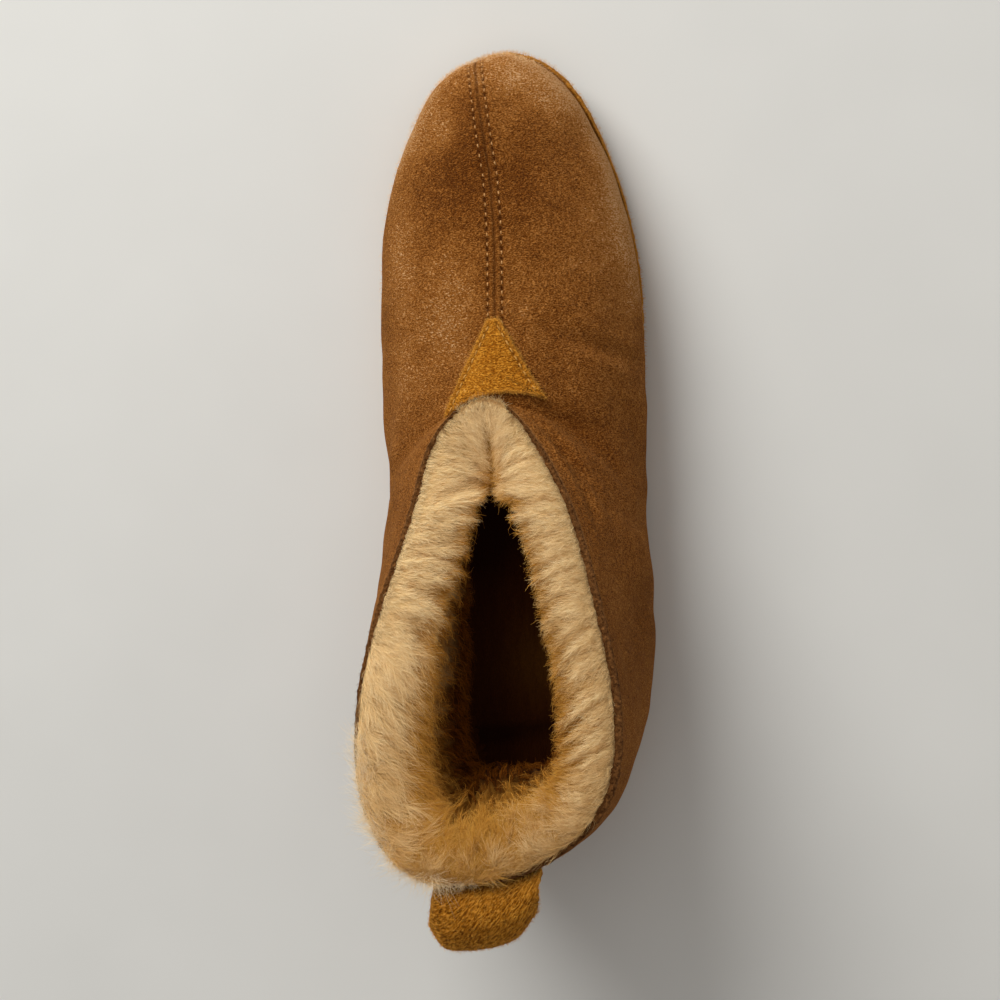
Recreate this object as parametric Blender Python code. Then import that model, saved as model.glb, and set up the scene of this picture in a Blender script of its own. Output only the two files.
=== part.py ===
"""Left shearling slipper: upper, outsole, rand, insole, throat patch and pull loop.

The shoe is worked out in its own coordinates, in millimetres: along (from the back of the heel to the toe),
across (positive to the medial side) and up from the floor. in_model() turns these into metres in the model's
frame, where the toe points to -Y, the medial side is -X and the origin is on the floor under the heel.
"""

import bmesh
import bpy
import numpy as np

MM = 0.001

# Driving sizes, in millimetres
HEEL_REST = 45.0  # along, where the origin lies
SEAT_GAP = 0.3  # between pieces that meet
SOLE_THICKNESS_HEEL = 13.0
SOLE_THICKNESS_TOE = 9.5
SOLE_THINNING = (60.0, 190.0)  # along, from where to where it gets thinner
ARCH_LIFT = 2.0
ARCH_BACK = (76.0, 104.0)  # along, from where to where the arch rises from the heel
ARCH_FRONT = (108.0, 138.0)  # and goes down to the forefoot
ARCH_TOP_SHARE = 0.5  # share of the arch's lift that does not reach the sole's upper side
TOE_SPRING = 7.0
TOE_SPRING_RUN = (208.0, 270.0)
HEEL_SPRING = 1.5
HEEL_SPRING_RUN = 10.0
SOLE_EDGE = 1.2  # bevel round the bottom of the outsole
RAND_THICKNESS = 1.5
RAND_RISE = 2.6  # above the joint of sole and upper
FOOT_WALL = 9.0  # skin and pressed pile where the upper meets the sole
INSOLE_THICKNESS = 7.0
INSOLE_CROWN = 2.0  # how far the insole's top edge is rounded in
RIM_CROWN = 5.0  # how far the pile stands above the collar's skin
RIM_DROP = 9.0  # from the collar's skin down to where the pile turns inside
PATCH_THICKNESS = 1.3
STRAP_THICKNESS = 2.0

# The instep's ridge: height at the throat, and how it falls towards the toe
THROAT_ALONG = 152.0
THROAT_HEIGHT = 70.5
RIDGE_FALL = 0.32
RIDGE_FLATTENING = 0.00075

# The mouth's middle line, towards which the collar's pile grows
MOUTH_FRONT = 118.0
MOUTH_BACK = 38.0
MOUTH_ACROSS = -4.0

# Sections go round the shoe from the toe end of the seam to the back of the heel. The throat is where the
# closed toe ends and the collar begins. Steps go up a section, from 0 at the sole to 1 at its top.
THROAT = 7
HEEL = 14
RIDGE_FADE_OUTSIDE = (THROAT - 1, THROAT + 2)  # sections over which the ridge's slope is given up
RIDGE_FADE_INSIDE = (THROAT - 3, THROAT)
CROWN_START = (THROAT, THROAT + 2)  # sections over which the rim's crown comes up

# A section's two handles
HANDLE = 0.6  # length against the section's rise or reach
HANDLE_EASE = 0.35  # how much shorter the lower handle is where the top stands upright
LEVEL_SPAN = 30.0  # reach at which a section's own direction counts as much as straight outwards

# Where each section meets the sole, on both sides
FEATHER_COLUMNS = ("section", "medial_along", "medial_across", "lateral_along", "lateral_across")
FEATHER_LINE = (
    ("seam end", 268.6, -9.3, 268.6, -9.3),
    ("toe", 270.2, 3.0, 263.5, -20.0),
    ("toe corner", 262.5, 17.6, 251.5, -29.2),
    ("toe side", 245.0, 28.9, 233.0, -37.3),
    ("ball front", 221.0, 37.3, 210.0, -42.8),
    ("ball", 193.0, 41.8, 185.0, -44.7),
    ("instep", 165.0, 41.7, 160.0, -44.1),
    ("throat", 139.0, 39.9, 136.0, -42.4),
    ("collar front", 118.0, 38.6, 116.0, -40.7),
    ("ankle", 97.0, 37.8, 96.0, -39.1),
    ("quarter front", 74.0, 37.0, 74.0, -37.9),
    ("quarter", 50.0, 34.2, 50.0, -36.8),
    ("heel side", 27.5, 27.8, 27.0, -33.0),
    ("heel corner", 9.5, 15.6, 8.5, -21.0),
    ("heel", 1.0, -2.0, 1.0, -2.0),
)

# The seam over the toe and instep, to its end at the throat, and the inside ridge under it
SEAM_COLUMNS = ("section", "along", "across", "inner_along", "inner_across", "inner_height")
SEAM_LINE = (
    ("seam end", 228.0, -3.4, 216.0, -3.4, 41.0),
    ("toe", 226.0, -3.1, 213.5, -3.3, 41.6),
    ("toe corner", 221.0, -2.7, 206.0, -3.2, 43.4),
    ("toe side", 212.0, -2.1, 194.0, -3.2, 46.2),
    ("ball front", 199.0, -1.8, 178.0, -3.4, 50.0),
    ("ball", 183.0, -1.7, 160.0, -3.7, 54.5),
    ("instep", 167.0, -2.4, 139.0, -4.0, 58.6),
    ("throat", THROAT_ALONG, -5.0, 122.0, -4.1, 61.5),
)

# The collar's skin edge, and the depth of skin and pile there
COLLAR_COLUMNS = (
    "section",
    "medial_along",
    "medial_across",
    "lateral_along",
    "lateral_across",
    "height",
    "pile",
)
COLLAR_LINE = (
    ("throat", THROAT_ALONG, -5.0, THROAT_ALONG, -5.0, THROAT_HEIGHT, 30.0),
    ("collar front", 139.0, 11.0, 140.0, -21.5, 75.0, 24.0),
    ("ankle", 115.0, 23.8, 117.0, -28.5, 84.5, 20.0),
    ("quarter front", 86.0, 31.9, 87.0, -38.2, 94.0, 19.5),
    ("quarter", 54.0, 37.5, 56.0, -45.0, 100.5, 19.5),
    ("heel side", 25.0, 33.2, 26.0, -43.5, 104.0, 19.0),
    ("heel corner", 7.5, 14.5, 4.5, -30.0, 105.5, 18.5),
    ("heel", 0.8, -8.0, 0.8, -8.0, 106.0, 18.5),
)

# How each section swells: degrees by which it leans at its top, outside and inside, and the push of its
# lower handle away from the foot
SWELL_COLUMNS = ("section", "lean", "inner_lean", "medial_push", "lateral_push")
SWELL = (
    ("seam end", 0.0, 0.0, 1.0, 1.0),
    ("toe", 0.0, 0.0, 1.0, 1.5),
    ("toe corner", 0.0, 0.0, 1.5, 3.0),
    ("toe side", 0.0, 0.0, 2.0, 4.0),
    ("ball front", 0.0, 0.0, 2.5, 5.0),
    ("ball", 0.0, 0.0, 4.0, 5.5),
    ("instep", 4.0, 0.0, 8.0, 7.0),
    ("throat", 14.0, 5.0, 13.0, 8.5),
    ("collar front", 30.0, 30.0, 12.5, 6.0),
    ("ankle", 56.0, 58.0, 14.0, 6.5),
    ("quarter front", 76.0, 78.0, 17.0, 7.5),
    ("quarter", 82.0, 86.0, 13.0, 8.0),
    ("heel side", 84.0, 88.0, 5.0, 7.0),
    ("heel corner", 84.0, 88.0, 3.0, 5.5),
    ("heel", 84.0, 88.0, 3.5, 3.5),
)

# The three-cornered patch in plan, with its hollow base
PATCH_COLUMNS = ("corner", "along", "across")
PATCH_OUTLINE = (
    ("point, medial", 177.6, -0.4),
    ("medial corner", 153.4, 13.2),
    ("base", 153.2, 5.5),
    ("base", 153.1, -2.0),
    ("base", 151.6, -10.0),
    ("lateral corner", 147.4, -18.4),
    ("point, lateral", 177.6, -4.0),
)

# The strap of the pull loop, from its upper sewn end over the fold to its lower sewn end
STRAP_COLUMNS = ("place", "height", "stand_off")
STRAP_PATH = (
    ("upper end", 95.0, 0.0),
    ("upper seam", 100.2, 0.0),
    ("turn", 103.7, 1.6),
    ("top", 105.0, 6.0),
    ("top", 103.2, 11.8),
    ("fold", 97.8, 17.2),
    ("fold", 90.0, 19.0),
    ("fold", 82.2, 15.8),
    ("return", 76.0, 8.8),
    ("turn", 71.0, 2.6),
    ("lower seam", 66.4, 0.0),
    ("lower end", 61.0, 0.0),
)
STRAP_WIDTH = 32.5
STRAP_MIDDLE = -5.8  # across, where the strap's middle is sewn
STRAP_SWING = 10.0  # degrees by which the loop points to the lateral side
WALL_TOP = 102.0  # the highest place where the strap follows the heel's wall
STRAP_ROUNDING = 0.35  # how much less the fold stands off at the strap's edges

# Reading the upper's surface
NORMAL_TOP = 0.95  # highest step where a section's own direction is read
NEAR = 0.02  # distance in sections and steps over which directions are read
BACK_REACH = 1.5  # sections on either side of the heel's middle among which the strap finds its place
BACK_PLACES = 25
READ_STEPS = 100

# Steps of the faceted solids
STEPS_PER_SECTION = 3
WALL_STEPS = 11
RIM_STEPS = 6
PATCH_START = 4  # section where the patch's larger forms begin, up to the throat
PATCH_LOW = 6  # the wall step where they begin
STRAP_STEPS = 8
CUTTER_REACH = 40.0  # of the patch's prism, above and below the throat
WELD = 0.005  # points closer than this are one

COLOURS = {
    "upper": (0.27, 0.115, 0.035),
    "outsole": (0.055, 0.032, 0.018),
    "rand": (0.42, 0.19, 0.03),
    "insole": (0.62, 0.40, 0.17),
    "throat_patch": (0.42, 0.17, 0.02),
    "pull_loop": (0.38, 0.15, 0.015),
}


def column(table, columns, name):
    """One named column of a table, as numbers."""
    place = columns.index(name)
    return np.array([row[place] for row in table], float)


def closed_curve(values, at):
    """A smooth closed curve through values, one at each whole number, read at one place or at many."""
    values = np.asarray(values, float)
    count = len(values)
    links = 4 * np.eye(count) + np.roll(np.eye(count), 1, 1) + np.roll(np.eye(count), -1, 1)
    slopes = np.linalg.solve(links, 3 * (np.roll(values, -1) - np.roll(values, 1)))
    at = np.mod(at, count)
    low = np.floor(at).astype(int) % count
    high = (low + 1) % count
    t = at - np.floor(at)
    return (
        values[low] * (1 + 2 * t) * (1 - t) ** 2
        + slopes[low] * t * (1 - t) ** 2
        + values[high] * t**2 * (3 - 2 * t)
        + slopes[high] * t**2 * (t - 1)
    )


def around(medial, lateral, place):
    """A value round the shoe: place runs from 0 at the first row to the last one on the medial side, and
    from 0 to minus the last one on the lateral side."""
    return closed_curve(np.concatenate([medial, lateral[-2:0:-1]]), place)


def feather(place):
    """Along and across, where the section at this place meets the sole."""
    return np.stack(
        [
            around(
                column(FEATHER_LINE, FEATHER_COLUMNS, "medial_" + name),
                column(FEATHER_LINE, FEATHER_COLUMNS, "lateral_" + name),
                place,
            )
            for name in ("along", "across")
        ],
        -1,
    )


def outward(place):
    """The level direction that points away from the shoe, square to the feather line."""
    run = feather(place + NEAR) - feather(place - NEAR)
    run /= np.linalg.norm(run, axis=-1, keepdims=True)
    return np.stack([run[..., 1], -run[..., 0]], -1)


def smooth_step(value, start, end):
    """From 0 at the start to 1 at the end, level at both."""
    share = np.clip((value - start) / (end - start), 0, 1)
    return share * share * (3 - 2 * share)


def arch_lift(along):
    """How far the arch lifts the outsole's underside."""
    return ARCH_LIFT * smooth_step(along, *ARCH_BACK) * (1 - smooth_step(along, *ARCH_FRONT))


def sole_bottom(along):
    """Height of the outsole's underside: flat under heel and forefoot, lifted at arch, toe and heel end."""
    start, end = TOE_SPRING_RUN
    toe = np.clip((along - start) / (end - start), 0, None) ** 2
    back = np.clip(1 - along / HEEL_SPRING_RUN, 0, None) ** 2
    return arch_lift(along) + TOE_SPRING * toe + HEEL_SPRING * back


def sole_top(along):
    """Height of the outsole's upper side."""
    thinner = (SOLE_THICKNESS_HEEL - SOLE_THICKNESS_TOE) * smooth_step(along, *SOLE_THINNING)
    return sole_bottom(along) + SOLE_THICKNESS_HEEL - thinner - ARCH_TOP_SHARE * arch_lift(along)


def ridge_height(along):
    """Height of the instep's ridge."""
    ahead = along - THROAT_ALONG
    return THROAT_HEIGHT - RIDGE_FALL * ahead + RIDGE_FLATTENING * ahead**2


def ridge_slope(along):
    """Slope of the instep's ridge."""
    return -RIDGE_FALL + 2 * RIDGE_FLATTENING * (along - THROAT_ALONG)


def seam(place, names):
    """Columns of the seam's table, smooth and at rest at both ends, where the two sides run together."""
    values = [column(SEAM_LINE, SEAM_COLUMNS, name) for name in names]
    return np.stack([around(v, v, place) for v in values], -1)


def collar(place, names):
    """Columns of the collar's table. It starts slowly from the throat, where the seam comes in."""
    past = np.abs(place) - THROAT
    eased = np.where(past < 1, past**2 * (2 - past), past)
    found = []
    for name in names:
        single = name in COLLAR_COLUMNS
        medial = column(COLLAR_LINE, COLLAR_COLUMNS, name if single else "medial_" + name)
        lateral = column(COLLAR_LINE, COLLAR_COLUMNS, name if single else "lateral_" + name)
        found.append(around(medial, lateral, np.sign(place) * eased))
    return np.stack(found, -1)


def swell(place, name):
    """A column of the swell's table, which may differ between the medial and the lateral side."""
    medial = name if name in SWELL_COLUMNS else "medial_" + name
    lateral = name if name in SWELL_COLUMNS else "lateral_" + name
    return around(
        column(SWELL, SWELL_COLUMNS, medial), column(SWELL, SWELL_COLUMNS, lateral), place
    )


def skin_top(place):
    """The upper end of the outer section: on the seam, or on the collar's edge."""
    if abs(place) <= THROAT:
        along, across = seam(place, ("along", "across"))
        return np.array([along, across, ridge_height(along)])
    return collar(place, ("along", "across", "height"))


def pile_top(place):
    """The upper end of the inner section: under the seam, or where the collar's pile turns inside."""
    if abs(place) < THROAT:
        return seam(place, ("inner_along", "inner_across", "inner_height"))
    along, across, height, pile = collar(place, ("along", "across", "height", "pile"))
    middle = np.array([np.clip(along, MOUTH_BACK, MOUTH_FRONT), MOUTH_ACROSS])
    way = middle - (along, across)
    level = (along, across) + way * pile / np.linalg.norm(way)
    return np.array([level[0], level[1], height - RIM_DROP])


def section(foot, top, away, lean, push, slope, steps):
    """Points of one section, from the sole to its top, on a curve with two handles. The lower handle stands
    upright and is pushed outwards. The upper one lies in the ridge's slope, or leans by so many degrees."""
    rise = top[2] - foot[2]
    share = lean / 90
    level = (foot[:2] - top[:2]) / LEVEL_SPAN * (1 - share) + away * share
    level /= np.linalg.norm(level)
    tilt = np.radians(lean)
    reach = np.linalg.norm(foot[:2] - top[:2])
    length = HANDLE * (reach * np.cos(tilt) ** 2 + rise * np.sin(tilt) ** 2)
    fall = -np.sin(tilt) + slope * level[0] * np.cos(tilt)
    lower = foot + (*(away * push), HANDLE * rise * (1 - HANDLE_EASE * share))
    upper = top + length * np.array([*(level * np.cos(tilt)), fall])
    t = np.asarray(steps)[:, None]
    return foot * (1 - t) ** 3 + 3 * lower * t * (1 - t) ** 2 + 3 * upper * t**2 * (1 - t) + top * t**3


def outer_section(place, steps):
    """The suede's surface at this place."""
    foot = feather(place)
    top = skin_top(place)
    slope = ridge_slope(top[0]) * (1 - smooth_step(abs(place), *RIDGE_FADE_OUTSIDE))
    low = np.array([*foot, sole_top(foot[0]) + SEAT_GAP])
    return section(low, top, outward(place), swell(place, "lean"), swell(place, "push"), slope, steps)


def inner_section(place, steps):
    """The pile's surface at this place."""
    edge = feather(place)
    foot = edge - outward(place) * FOOT_WALL
    top = pile_top(place)
    slope = ridge_slope(top[0]) * (1 - smooth_step(abs(place), *RIDGE_FADE_INSIDE))
    low = np.array([*foot, sole_top(edge[0]) + SEAT_GAP])
    return section(low, top, outward(place), swell(place, "inner_lean"), swell(place, "push"), slope, steps)


def rim_section(place, steps):
    """The pile's rounded rim, from the collar's skin over to the inside."""
    skin = skin_top(place)
    pile = pile_top(place)
    t = np.asarray(steps)[:, None]
    rise = RIM_CROWN * smooth_step(abs(place), *CROWN_START)
    crown = rise * np.sqrt(1 - (2 * t - 1) ** 2) * np.array([0, 0, 1])
    return skin + (pile - skin) * t + crown


def side_normals(place, steps):
    """Directions that point out of the suede, as one side of the shoe has them. They are read a little below
    the top, because the sections draw together at the throat."""
    steps = np.clip(steps, NEAR, NORMAL_TOP)
    higher = outer_section(place, steps + NEAR)
    lower = outer_section(place, steps - NEAR)
    round_shoe = outer_section(place + NEAR, steps) - outer_section(place - NEAR, steps)
    found = np.cross(round_shoe, higher - lower)
    return found / np.linalg.norm(found, axis=-1, keepdims=True)


def outer_normals(place, steps):
    """Directions that point out of the suede. Both sides agree where they meet on the seam."""
    steps = np.asarray(steps, float)
    found = side_normals(place, steps)
    if abs(place) <= THROAT and steps[-1] == 1:
        both = found[-1] + side_normals(-place, steps[-1:])[0]
        found[-1] = both / np.linalg.norm(both)
    return found


def step_at_height(place, height):
    """Where on the outer section a height is reached."""
    steps = np.linspace(0, 1, READ_STEPS + 1)
    return float(np.interp(height, outer_section(place, steps)[:, 2], steps))


def in_model(points):
    """The shoe's own millimetres as metres in the model's frame."""
    points = np.asarray(points, float)
    return np.stack([-points[..., 1], HEEL_REST - points[..., 0], points[..., 2]], -1) * MM


def make_object(name, sheets, caps=()):
    """One closed object from sheets, which are grids of points whose edges meet, and from caps, which are
    rings of points to be filled."""
    mesh = bmesh.new()
    for sheet in sheets:
        grid = [[mesh.verts.new(p) for p in in_model(line)] for line in sheet]
        for line, after in zip(grid, grid[1:]):
            for a, b, c, d in zip(line, line[1:], after[1:], after):
                mesh.faces.new((a, b, c, d))
    for cap in caps:
        mesh.faces.new([mesh.verts.new(p) for p in in_model(cap)])
    bmesh.ops.remove_doubles(mesh, verts=mesh.verts, dist=WELD * MM)
    bmesh.ops.dissolve_degenerate(mesh, edges=mesh.edges, dist=WELD * MM)
    bmesh.ops.triangulate(mesh, faces=mesh.faces)
    bmesh.ops.recalc_face_normals(mesh, faces=mesh.faces)
    data = bpy.data.meshes.new(name)
    mesh.to_mesh(data)
    mesh.free()
    made = bpy.data.objects.new(name, data)
    bpy.context.scene.collection.objects.link(made)
    return made


def finish(made, roughness):
    """Smooth shading and the piece's own colour."""
    made.data.shade_smooth()
    made.data.set_sharp_from_angle(angle=np.radians(40))
    material = bpy.data.materials.new(made.name)
    material.use_nodes = True
    shader = material.node_tree.nodes["Principled BSDF"]
    shader.inputs["Base Color"].default_value = (*COLOURS[made.name], 1)
    shader.inputs["Roughness"].default_value = roughness
    shader.inputs["Metallic"].default_value = 0
    made.data.materials.append(material)


def places(start, end):
    """Places for the solids' sections, both ends included."""
    return np.linspace(start, end, round(abs(end - start) * STEPS_PER_SECTION) + 1)


def make_upper():
    """One hollow solid between the suede's surface and the pile's, open below and at the collar."""
    wall = np.linspace(0, 1, WALL_STEPS + 1)
    rim = np.linspace(0, 1, RIM_STEPS + 1)
    sheets = []
    for side in (1, -1):
        stations = side * places(0, HEEL)
        outer = [outer_section(p, wall) for p in stations]
        inner = [inner_section(p, wall) for p in stations]
        sheets.append(outer)
        sheets.append(inner)
        sheets.append([[a[0], b[0]] for a, b in zip(outer, inner)])
        sheets.append([rim_section(p, rim) for p in side * places(THROAT, HEEL)])
    return make_object("upper", sheets)


def ring(offset, height):
    """Points round the feather line, moved outwards by offset, at the height of a function of along."""
    stations = np.concatenate([places(0, HEEL), -places(0, HEEL)[-2:0:-1]])
    edge = feather(stations)
    level = edge + outward(stations) * offset
    return np.column_stack([level, height(edge[:, 0])])


def ladder(points):
    """A ring of points as a sheet of rungs, each from the medial to the lateral side."""
    half = len(points) // 2
    lateral = [points[0], *points[:half - 1:-1][:half]]
    return list(zip(points[: half + 1], lateral))


def plate(rings):
    """Sheets of a closed plate from its rings, the first below and the last on top."""
    around_it = [np.vstack([r, r[:1]]) for r in rings]
    return [around_it, ladder(rings[0]), ladder(rings[-1])]


def make_outsole():
    rings = [
        ring(-SOLE_EDGE, sole_bottom),
        ring(0, lambda along: sole_bottom(along) + SOLE_EDGE),
        ring(0, sole_top),
    ]
    return make_object("outsole", plate(rings))


def make_insole():
    """A loose footbed that fills the upper's floor."""
    edge = -(FOOT_WALL + 3 * SEAT_GAP)

    def level(rise):
        return lambda along: sole_top(along) + SEAT_GAP + rise

    rings = [
        ring(edge, level(0)),
        ring(edge, level(INSOLE_THICKNESS - INSOLE_CROWN)),
        ring(edge - INSOLE_CROWN, level(INSOLE_THICKNESS)),
    ]
    return make_object("insole", plate(rings))


def make_rand():
    """A strip round the edge of the sole, which rises a little way up the upper."""
    sheet = []
    for place in [*places(0, HEEL), *-places(0, HEEL)[-2::-1]]:
        edge = feather(place)
        away = outward(place)
        foot = sole_top(edge[0])
        low = sole_bottom(edge[0]) + SOLE_EDGE
        step = step_at_height(place, foot + SEAT_GAP + RAND_RISE)
        skin = outer_section(place, [step])[0]
        normal = outer_normals(place, [step])[0]
        near, far = SEAT_GAP, SEAT_GAP + RAND_THICKNESS
        sheet.append(
            [
                (*(edge + away * near), low),
                (*(edge + away * far), low),
                (*(edge + away * far), foot),
                skin + normal * far,
                skin + normal * near,
                (*(edge + away * near), foot),
                (*(edge + away * near), low),
            ]
        )
    return make_object("rand", [sheet])


def cut_between(name, sheets, outline, low, high):
    """A piece cut out of the space between two larger forms, by an upright prism of this outline."""
    made = make_object(name, sheets)
    bottom = [(*p, low) for p in outline]
    top = [(*p, high) for p in outline]
    side = [bottom + bottom[:1], top + top[:1]]
    cutter = make_object(name + "_outline", [side], [bottom, top])
    cutter.hide_render = True
    cutter.display_type = "WIRE"
    cut = made.modifiers.new("outline", "BOOLEAN")
    cut.operation = "INTERSECT"
    cut.solver = "EXACT"
    cut.object = cutter
    return made


def make_throat_patch():
    """An overlay on the upper's own surface, over the end of the seam."""
    steps = np.linspace(0, 1, WALL_STEPS + 1)[PATCH_LOW:]
    sheets = []
    for side in (1, -1):
        stations = side * places(PATCH_START, THROAT)
        skin = [outer_section(p, steps) for p in stations]
        normals = [outer_normals(p, steps) for p in stations]
        low = [s + n * SEAT_GAP for s, n in zip(skin, normals)]
        high = [s + n * (SEAT_GAP + PATCH_THICKNESS) for s, n in zip(skin, normals)]
        sheets += [low, high, [low[0], high[0]], [low[-1], high[-1]]]
        sheets.append([[a[0], b[0]] for a, b in zip(low, high)])
    sides = [column(PATCH_OUTLINE, PATCH_COLUMNS, name) for name in ("along", "across")]
    low, high = THROAT_HEIGHT - CUTTER_REACH, THROAT_HEIGHT + CUTTER_REACH
    return cut_between("throat_patch", sheets, np.stack(sides, -1), low, high)


def place_behind(across, height):
    """The section at the back of the heel whose surface lies so far across at this height."""
    found = np.linspace(HEEL - BACK_REACH, HEEL + BACK_REACH, BACK_PLACES)
    sides = [outer_section(p, [step_at_height(p, height)])[0][1] for p in found]
    return float(np.interp(-across, -np.array(sides), found))


def make_pull_loop():
    """A strap sewn to the back of the upper by both ends, with its middle standing off."""
    heights = column(STRAP_PATH, STRAP_COLUMNS, "height")
    stand_offs = column(STRAP_PATH, STRAP_COLUMNS, "stand_off")
    swing = np.radians(STRAP_SWING)
    back = np.array([-np.cos(swing), -np.sin(swing), 0])
    near, far = [], []
    for share in np.linspace(-1, 1, STRAP_STEPS + 1):
        across = STRAP_MIDDLE - share * STRAP_WIDTH / 2
        line = []
        for height, stand_off in zip(heights, stand_offs):
            on_wall = min(height, WALL_TOP)
            place = place_behind(across, on_wall)
            step = step_at_height(place, on_wall)
            lift = outer_normals(place, [step])[0] * (SEAT_GAP + STRAP_THICKNESS / 2)
            middle = outer_section(place, [step])[0] + lift
            middle[2] = height
            line.append(middle + back * stand_off * (1 - STRAP_ROUNDING * abs(share) ** 3))
        line = np.array(line)
        run = np.gradient(line, axis=0)
        side = np.cross(run, np.cross(back, (0, 0, 1)))
        side *= STRAP_THICKNESS / 2 / np.linalg.norm(side, axis=1, keepdims=True)
        near.append(line - side)
        far.append(line + side)
    sheets = [near, far, [near[0], far[0]], [near[-1], far[-1]]]
    sheets.append([[a[0], b[0]] for a, b in zip(near, far)])
    sheets.append([[a[-1], b[-1]] for a, b in zip(near, far)])
    return make_object("pull_loop", sheets)


for old in list(bpy.data.objects):
    bpy.data.objects.remove(old, do_unlink=True)

finish(make_upper(), 0.95)
finish(make_outsole(), 0.8)
finish(make_rand(), 0.95)
finish(make_insole(), 1.0)
finish(make_throat_patch(), 0.95)
finish(make_pull_loop(), 0.95)
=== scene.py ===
# %% [markdown]
# # A left shearling slipper
#
# This notebook gives a slipper its looks. The slipper is sewn from sheepskin with the wool left on: the
# brushed suede side is outside, and the wool is inside and shows as a thick roll at the collar. The frame
# that is loaded here already has the true solids of every piece. Each of them is replaced below by a
# finer piece of the same shape, because wool, nap, stitches and creases are too small for the solids.

import bmesh
import bpy
import numpy as np
from mathutils import Matrix, Vector
from mathutils.bvhtree import BVHTree
from mathutils.kdtree import KDTree


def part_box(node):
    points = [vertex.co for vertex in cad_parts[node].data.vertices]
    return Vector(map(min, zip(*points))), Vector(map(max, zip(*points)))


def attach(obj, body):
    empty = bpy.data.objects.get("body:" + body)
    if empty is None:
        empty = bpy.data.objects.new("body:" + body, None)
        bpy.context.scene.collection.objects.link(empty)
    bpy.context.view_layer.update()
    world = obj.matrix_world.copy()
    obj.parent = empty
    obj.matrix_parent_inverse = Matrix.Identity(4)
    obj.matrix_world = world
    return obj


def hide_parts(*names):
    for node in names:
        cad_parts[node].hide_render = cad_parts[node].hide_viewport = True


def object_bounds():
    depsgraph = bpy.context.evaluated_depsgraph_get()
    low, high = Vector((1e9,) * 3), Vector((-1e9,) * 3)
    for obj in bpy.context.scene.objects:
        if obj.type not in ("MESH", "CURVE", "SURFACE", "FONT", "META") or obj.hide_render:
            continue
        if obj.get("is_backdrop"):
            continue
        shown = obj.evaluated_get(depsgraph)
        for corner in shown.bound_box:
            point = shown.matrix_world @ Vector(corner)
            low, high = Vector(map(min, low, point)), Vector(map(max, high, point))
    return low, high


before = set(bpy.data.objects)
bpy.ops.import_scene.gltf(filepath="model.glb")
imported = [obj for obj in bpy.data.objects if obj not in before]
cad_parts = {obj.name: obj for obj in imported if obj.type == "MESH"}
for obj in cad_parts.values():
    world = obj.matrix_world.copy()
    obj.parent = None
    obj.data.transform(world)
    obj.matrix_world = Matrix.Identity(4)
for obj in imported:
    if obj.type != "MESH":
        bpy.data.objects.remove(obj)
cad_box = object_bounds()
print("nodes:", sorted(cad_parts))
print("size in mm:", [round(1000 * side) for side in cad_box[1] - cad_box[0]])

# %% [markdown]
# ## The last's own sizes
#
# A shoemaker measures along the foot, across it and up from the floor. The slipper is worked out in those
# three sizes, in millimetres: along runs from the heel to the toe, and across is positive on the inner
# (medial) side. Tables with one row for each section hold the shape, and a smooth closed curve runs
# through every column. It could be modelled by hand as a subdivided mesh, but then stitches, wool and
# creases would have nothing to hold on to. With a formula, any spot on the skin can be asked for by its
# section and its step up that section.

# %% Sizes of the slipper
MM = 0.001
HEEL_REST = 45.0  # along, where the frame's origin lies
SEAT_GAP = 0.3
SOLE_THICKNESS_HEEL = 13.0
SOLE_THICKNESS_TOE = 9.5
SOLE_THINNING = (60.0, 190.0)
SOLE_EDGE = 1.2
ARCH_LIFT = 2.0
ARCH_BACK = (76.0, 104.0)
ARCH_FRONT = (108.0, 138.0)
ARCH_TOP_SHARE = 0.5
TOE_SPRING = 7.0
TOE_SPRING_RUN = (208.0, 270.0)
HEEL_SPRING = 1.5
HEEL_SPRING_RUN = 10.0
RAND_THICKNESS = 1.5
RAND_RISE = 2.6
FOOT_WALL = 9.0
RIM_CROWN = 5.0
RIM_DROP = 9.0
THROAT_ALONG = 152.0
THROAT_HEIGHT = 70.5
RIDGE_FALL = 0.32
RIDGE_FLATTENING = 0.00075
MOUTH_FRONT = 118.0
MOUTH_BACK = 38.0
MOUTH_ACROSS = -4.0

# Sections go round from the toe end of the seam to the back of the heel: + medial, - lateral
THROAT = 7
HEEL = 14
RIDGE_FADE_OUTSIDE = (THROAT - 1, THROAT + 2)
RIDGE_FADE_INSIDE = (THROAT - 3, THROAT)
CROWN_START = (THROAT, THROAT + 2)
HANDLE = 0.6
HANDLE_EASE = 0.35
LEVEL_SPAN = 30.0

FEATHER_COLUMNS = ("section", "medial_along", "medial_across", "lateral_along", "lateral_across")
FEATHER_LINE = (
    ("seam end", 268.6, -9.3, 268.6, -9.3),
    ("toe", 270.2, 3, 263.5, -20),
    ("toe corner", 262.5, 17.6, 251.5, -29.2),
    ("toe side", 245, 28.9, 233, -37.3),
    ("ball front", 221, 37.3, 210, -42.8),
    ("ball", 193, 41.8, 185, -44.7),
    ("instep", 165, 41.7, 160, -44.1),
    ("throat", 139, 39.9, 136, -42.4),
    ("collar front", 118, 38.6, 116, -40.7),
    ("ankle", 97, 37.8, 96, -39.1),
    ("quarter front", 74, 37, 74, -37.9),
    ("quarter", 50, 34.2, 50, -36.8),
    ("heel side", 27.5, 27.8, 27, -33),
    ("heel corner", 9.5, 15.6, 8.5, -21),
    ("heel", 1, -2, 1, -2),
)

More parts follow.
